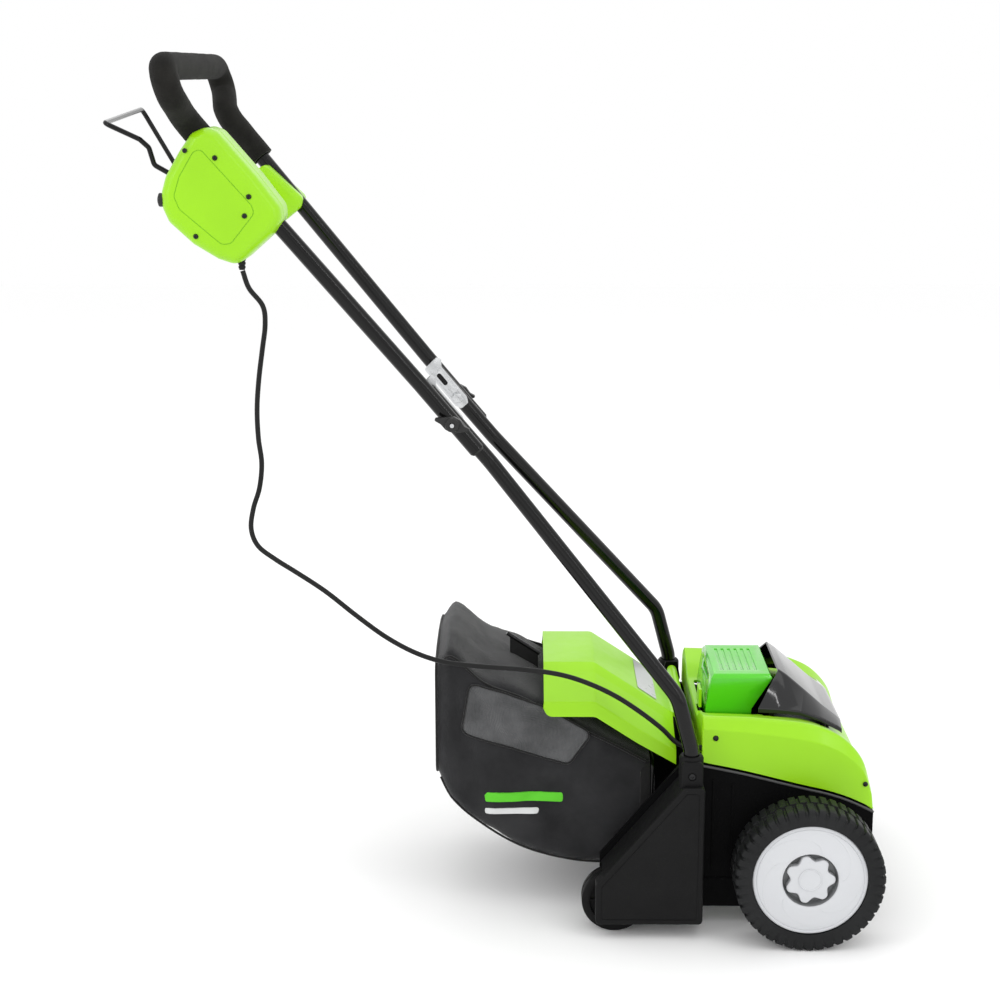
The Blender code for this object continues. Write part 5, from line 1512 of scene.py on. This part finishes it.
def bag_cloth():
    """The bag's cloth, and its area before it is given a thickness."""
    rings = [bag_ring(BAG_BACK + (BAG_MOUTH - BAG_BACK) * k / 66) for k in range(67)]
    back = rings[0]
    middle = Vector((0.0, 0.245))
    caps = []
    for share, depth in ((0.16, 0.0030), (0.40, 0.0034), (0.66, 0.0030), (0.86, 0.0018), (0.95, 0.0006)):
        ring = []
        for x, y, z in back:
            wave = 0.0016 * noise.noise(Vector((y * 22, z * 22, share * 3)))
            ring.append((x - depth + wave * (1 - share), middle.x + share * (y - middle.x),
                         middle.y + share * (z - middle.y)))
        caps.append(ring)
    cloth = loft("bag_cloth", caps + rings, MAT["nylon"], caps=False)
    bm = bmesh.new()
    bm.from_mesh(cloth.data)
    bm.verts.ensure_lookup_table()
    bm.faces.new([bm.verts[i] for i in range(len(back))])
    bmesh.ops.recalc_face_normals(bm, faces=bm.faces)
    bm.to_mesh(cloth.data)
    bm.free()
    smooth_again(cloth, 60)
    area = sum(p.area for p in cloth.data.polygons)
    modifier(cloth, "SOLIDIFY", thickness=0.0010, offset=-1)
    bake(cloth)
    smooth_again(cloth, 60)
    dress(cloth, "grass_bag", "grass_bag")
    return cloth, area


def side_patch(name, corners, radius, proud, mat, side, rings=14):
    """A piece of cloth sewn on the bag's side, following its folds."""
    outline = [Vector(p) for p in rounded_outline(corners, radius, 4)]
    dense = []
    for a, b in zip(outline, outline[1:] + outline[:1]):
        steps = max(1, int((b - a).length / 0.005))
        dense += [a.lerp(b, k / steps) for k in range(steps)]
    centre = sum(dense, Vector((0, 0))) / len(dense)

    def on_bag(p, out):
        return (p.x, side * (bag_at(p.x)[0] - fold(p.x, side * bag_at(p.x)[0], p.y) + out), p.y)

    loops = [[on_bag(centre.lerp(p, share), proud if share < 1 else -0.0004) for p in dense]
             for share in [(k + 1) / rings for k in range(rings)] + [1.0]]
    bm = bmesh.new()
    made = [[bm.verts.new(p) for p in loop] for loop in loops]
    bridge(bm, made)
    bm.faces.new(made[0])
    patch = dress(add(name, bm, mat, 60), "grass_bag")
    return patch, [on_bag(p, proud + 0.0002) for p in dense]


def piping(name, path, radius, cyclic=False):
    return wire(name, path, radius, MAT["piping"], "grass_bag", resolution=4, cyclic=cyclic)


def grass_bag():
    """Cloth with net windows, bars, piping and a hem, on the wire frame that holds its mouth open."""
    cloth, area = bag_cloth()
    extras = []
    for label, side in SIDES:
        patch, rim = side_patch("bag_net_" + label, NET_CORNERS, 0.010, 0.0010, MAT["net"], side, 22)
        extras += [patch, piping("bag_net_piping_" + label, rim, 0.0013, True)]
        for word, corners, mat in (("green", BAR_GREEN, "print_green"),
                                   ("white", BAR_WHITE, "print_white")):
            bar, _ = side_patch(f"bag_{word}_bar_{label}", corners, 0.0035, 0.0014, MAT[mat], side, 8)
            extras.append(bar)
        for word, radius, edge, rise in (("top", 0.0017, 2, -0.0046), ("low", 0.0015, 1, 0.0052)):
            seam = []
            for k in range(60):
                x = -0.074 + 0.256 * k / 59
                section = bag_at(x)
                seam.append((x, side * (section[0] - 0.0052), section[edge] + rise))
            extras.append(piping(f"bag_{word}_piping_{label}", seam, radius))
    half, low, high, crown = bag_at(BAG_BACK)
    back = rounded_outline([(half - 0.001, low + 0.001), (half - 0.001, high - 0.001),
                            (half * 0.5, high + 0.7 * crown), (0.0, high + crown - 0.001),
                            (-half * 0.5, high + 0.7 * crown), (-half + 0.001, high - 0.001),
                            (-half + 0.001, low + 0.001)], 0.019, 6)
    extras.append(piping("bag_back_piping", [(BAG_BACK - 0.0005, y, z) for y, z in back], 0.0018, True))
    mouth = [Vector(p) for p in bag_ring(0.1866)]
    centre = sum(mouth, Vector((0, 0, 0))) / len(mouth)
    loops = []
    for x, grow in ((0.1745, 0.0008), (0.1752, 0.0020), (0.1862, 0.0020), (0.1872, 0.0012),
                    (0.1872, -0.0004), (0.1745, -0.0004)):
        loop = []
        for p in mouth:
            out = (p - centre).normalized()
            loop.append((x, p.y + out.y * grow, p.z + out.z * grow))
        loops.append(loop)
    hem = loft("bag_hem", loops + [loops[0]], MAT["piping"], caps=False)
    smooth_again(hem, 40)
    dress(hem, "grass_bag")
    extras.append(hem)
    x, half, low, high = BAG_MOUTH + 0.004, 0.121, 0.060, 0.194
    line = rounded_path([(x, 0, low), (x, half, low), (x, half, high), (x, -half, high), (x, -half, low),
                         (x, -0.0001, low)], 0.018, 10)
    wire("bag_mouth_frame", line, BAG_WIRE_R, MAT["tube"], "grass_bag", "bag_frame")
    wire("bag_top_rod", BAG_ROD, BAG_WIRE_R, MAT["tube"], "grass_bag", "bag_rod")
    start, end = BAG_ROD[0], BAG_ROD[-1]
    upper, lower = [], []
    for k in range(9):
        x = 0.0120 + 0.0360 * k / 8
        half, low, high, crown = bag_at(x)
        upper.append((x, start[2] + (x - start[0]) / (end[0] - start[0]) * (end[2] - start[2]) - 0.0012))
        lower.append((x, high + 0.90 * crown - 0.0030))
    tab = bake(bevel(prism("bag_rod_tab", upper + lower[::-1], -0.0208, -0.0192, MAT["piping"]), 0.0003, 1))
    dress(tab, "grass_bag")
    extras.append(tab)


grass_bag()
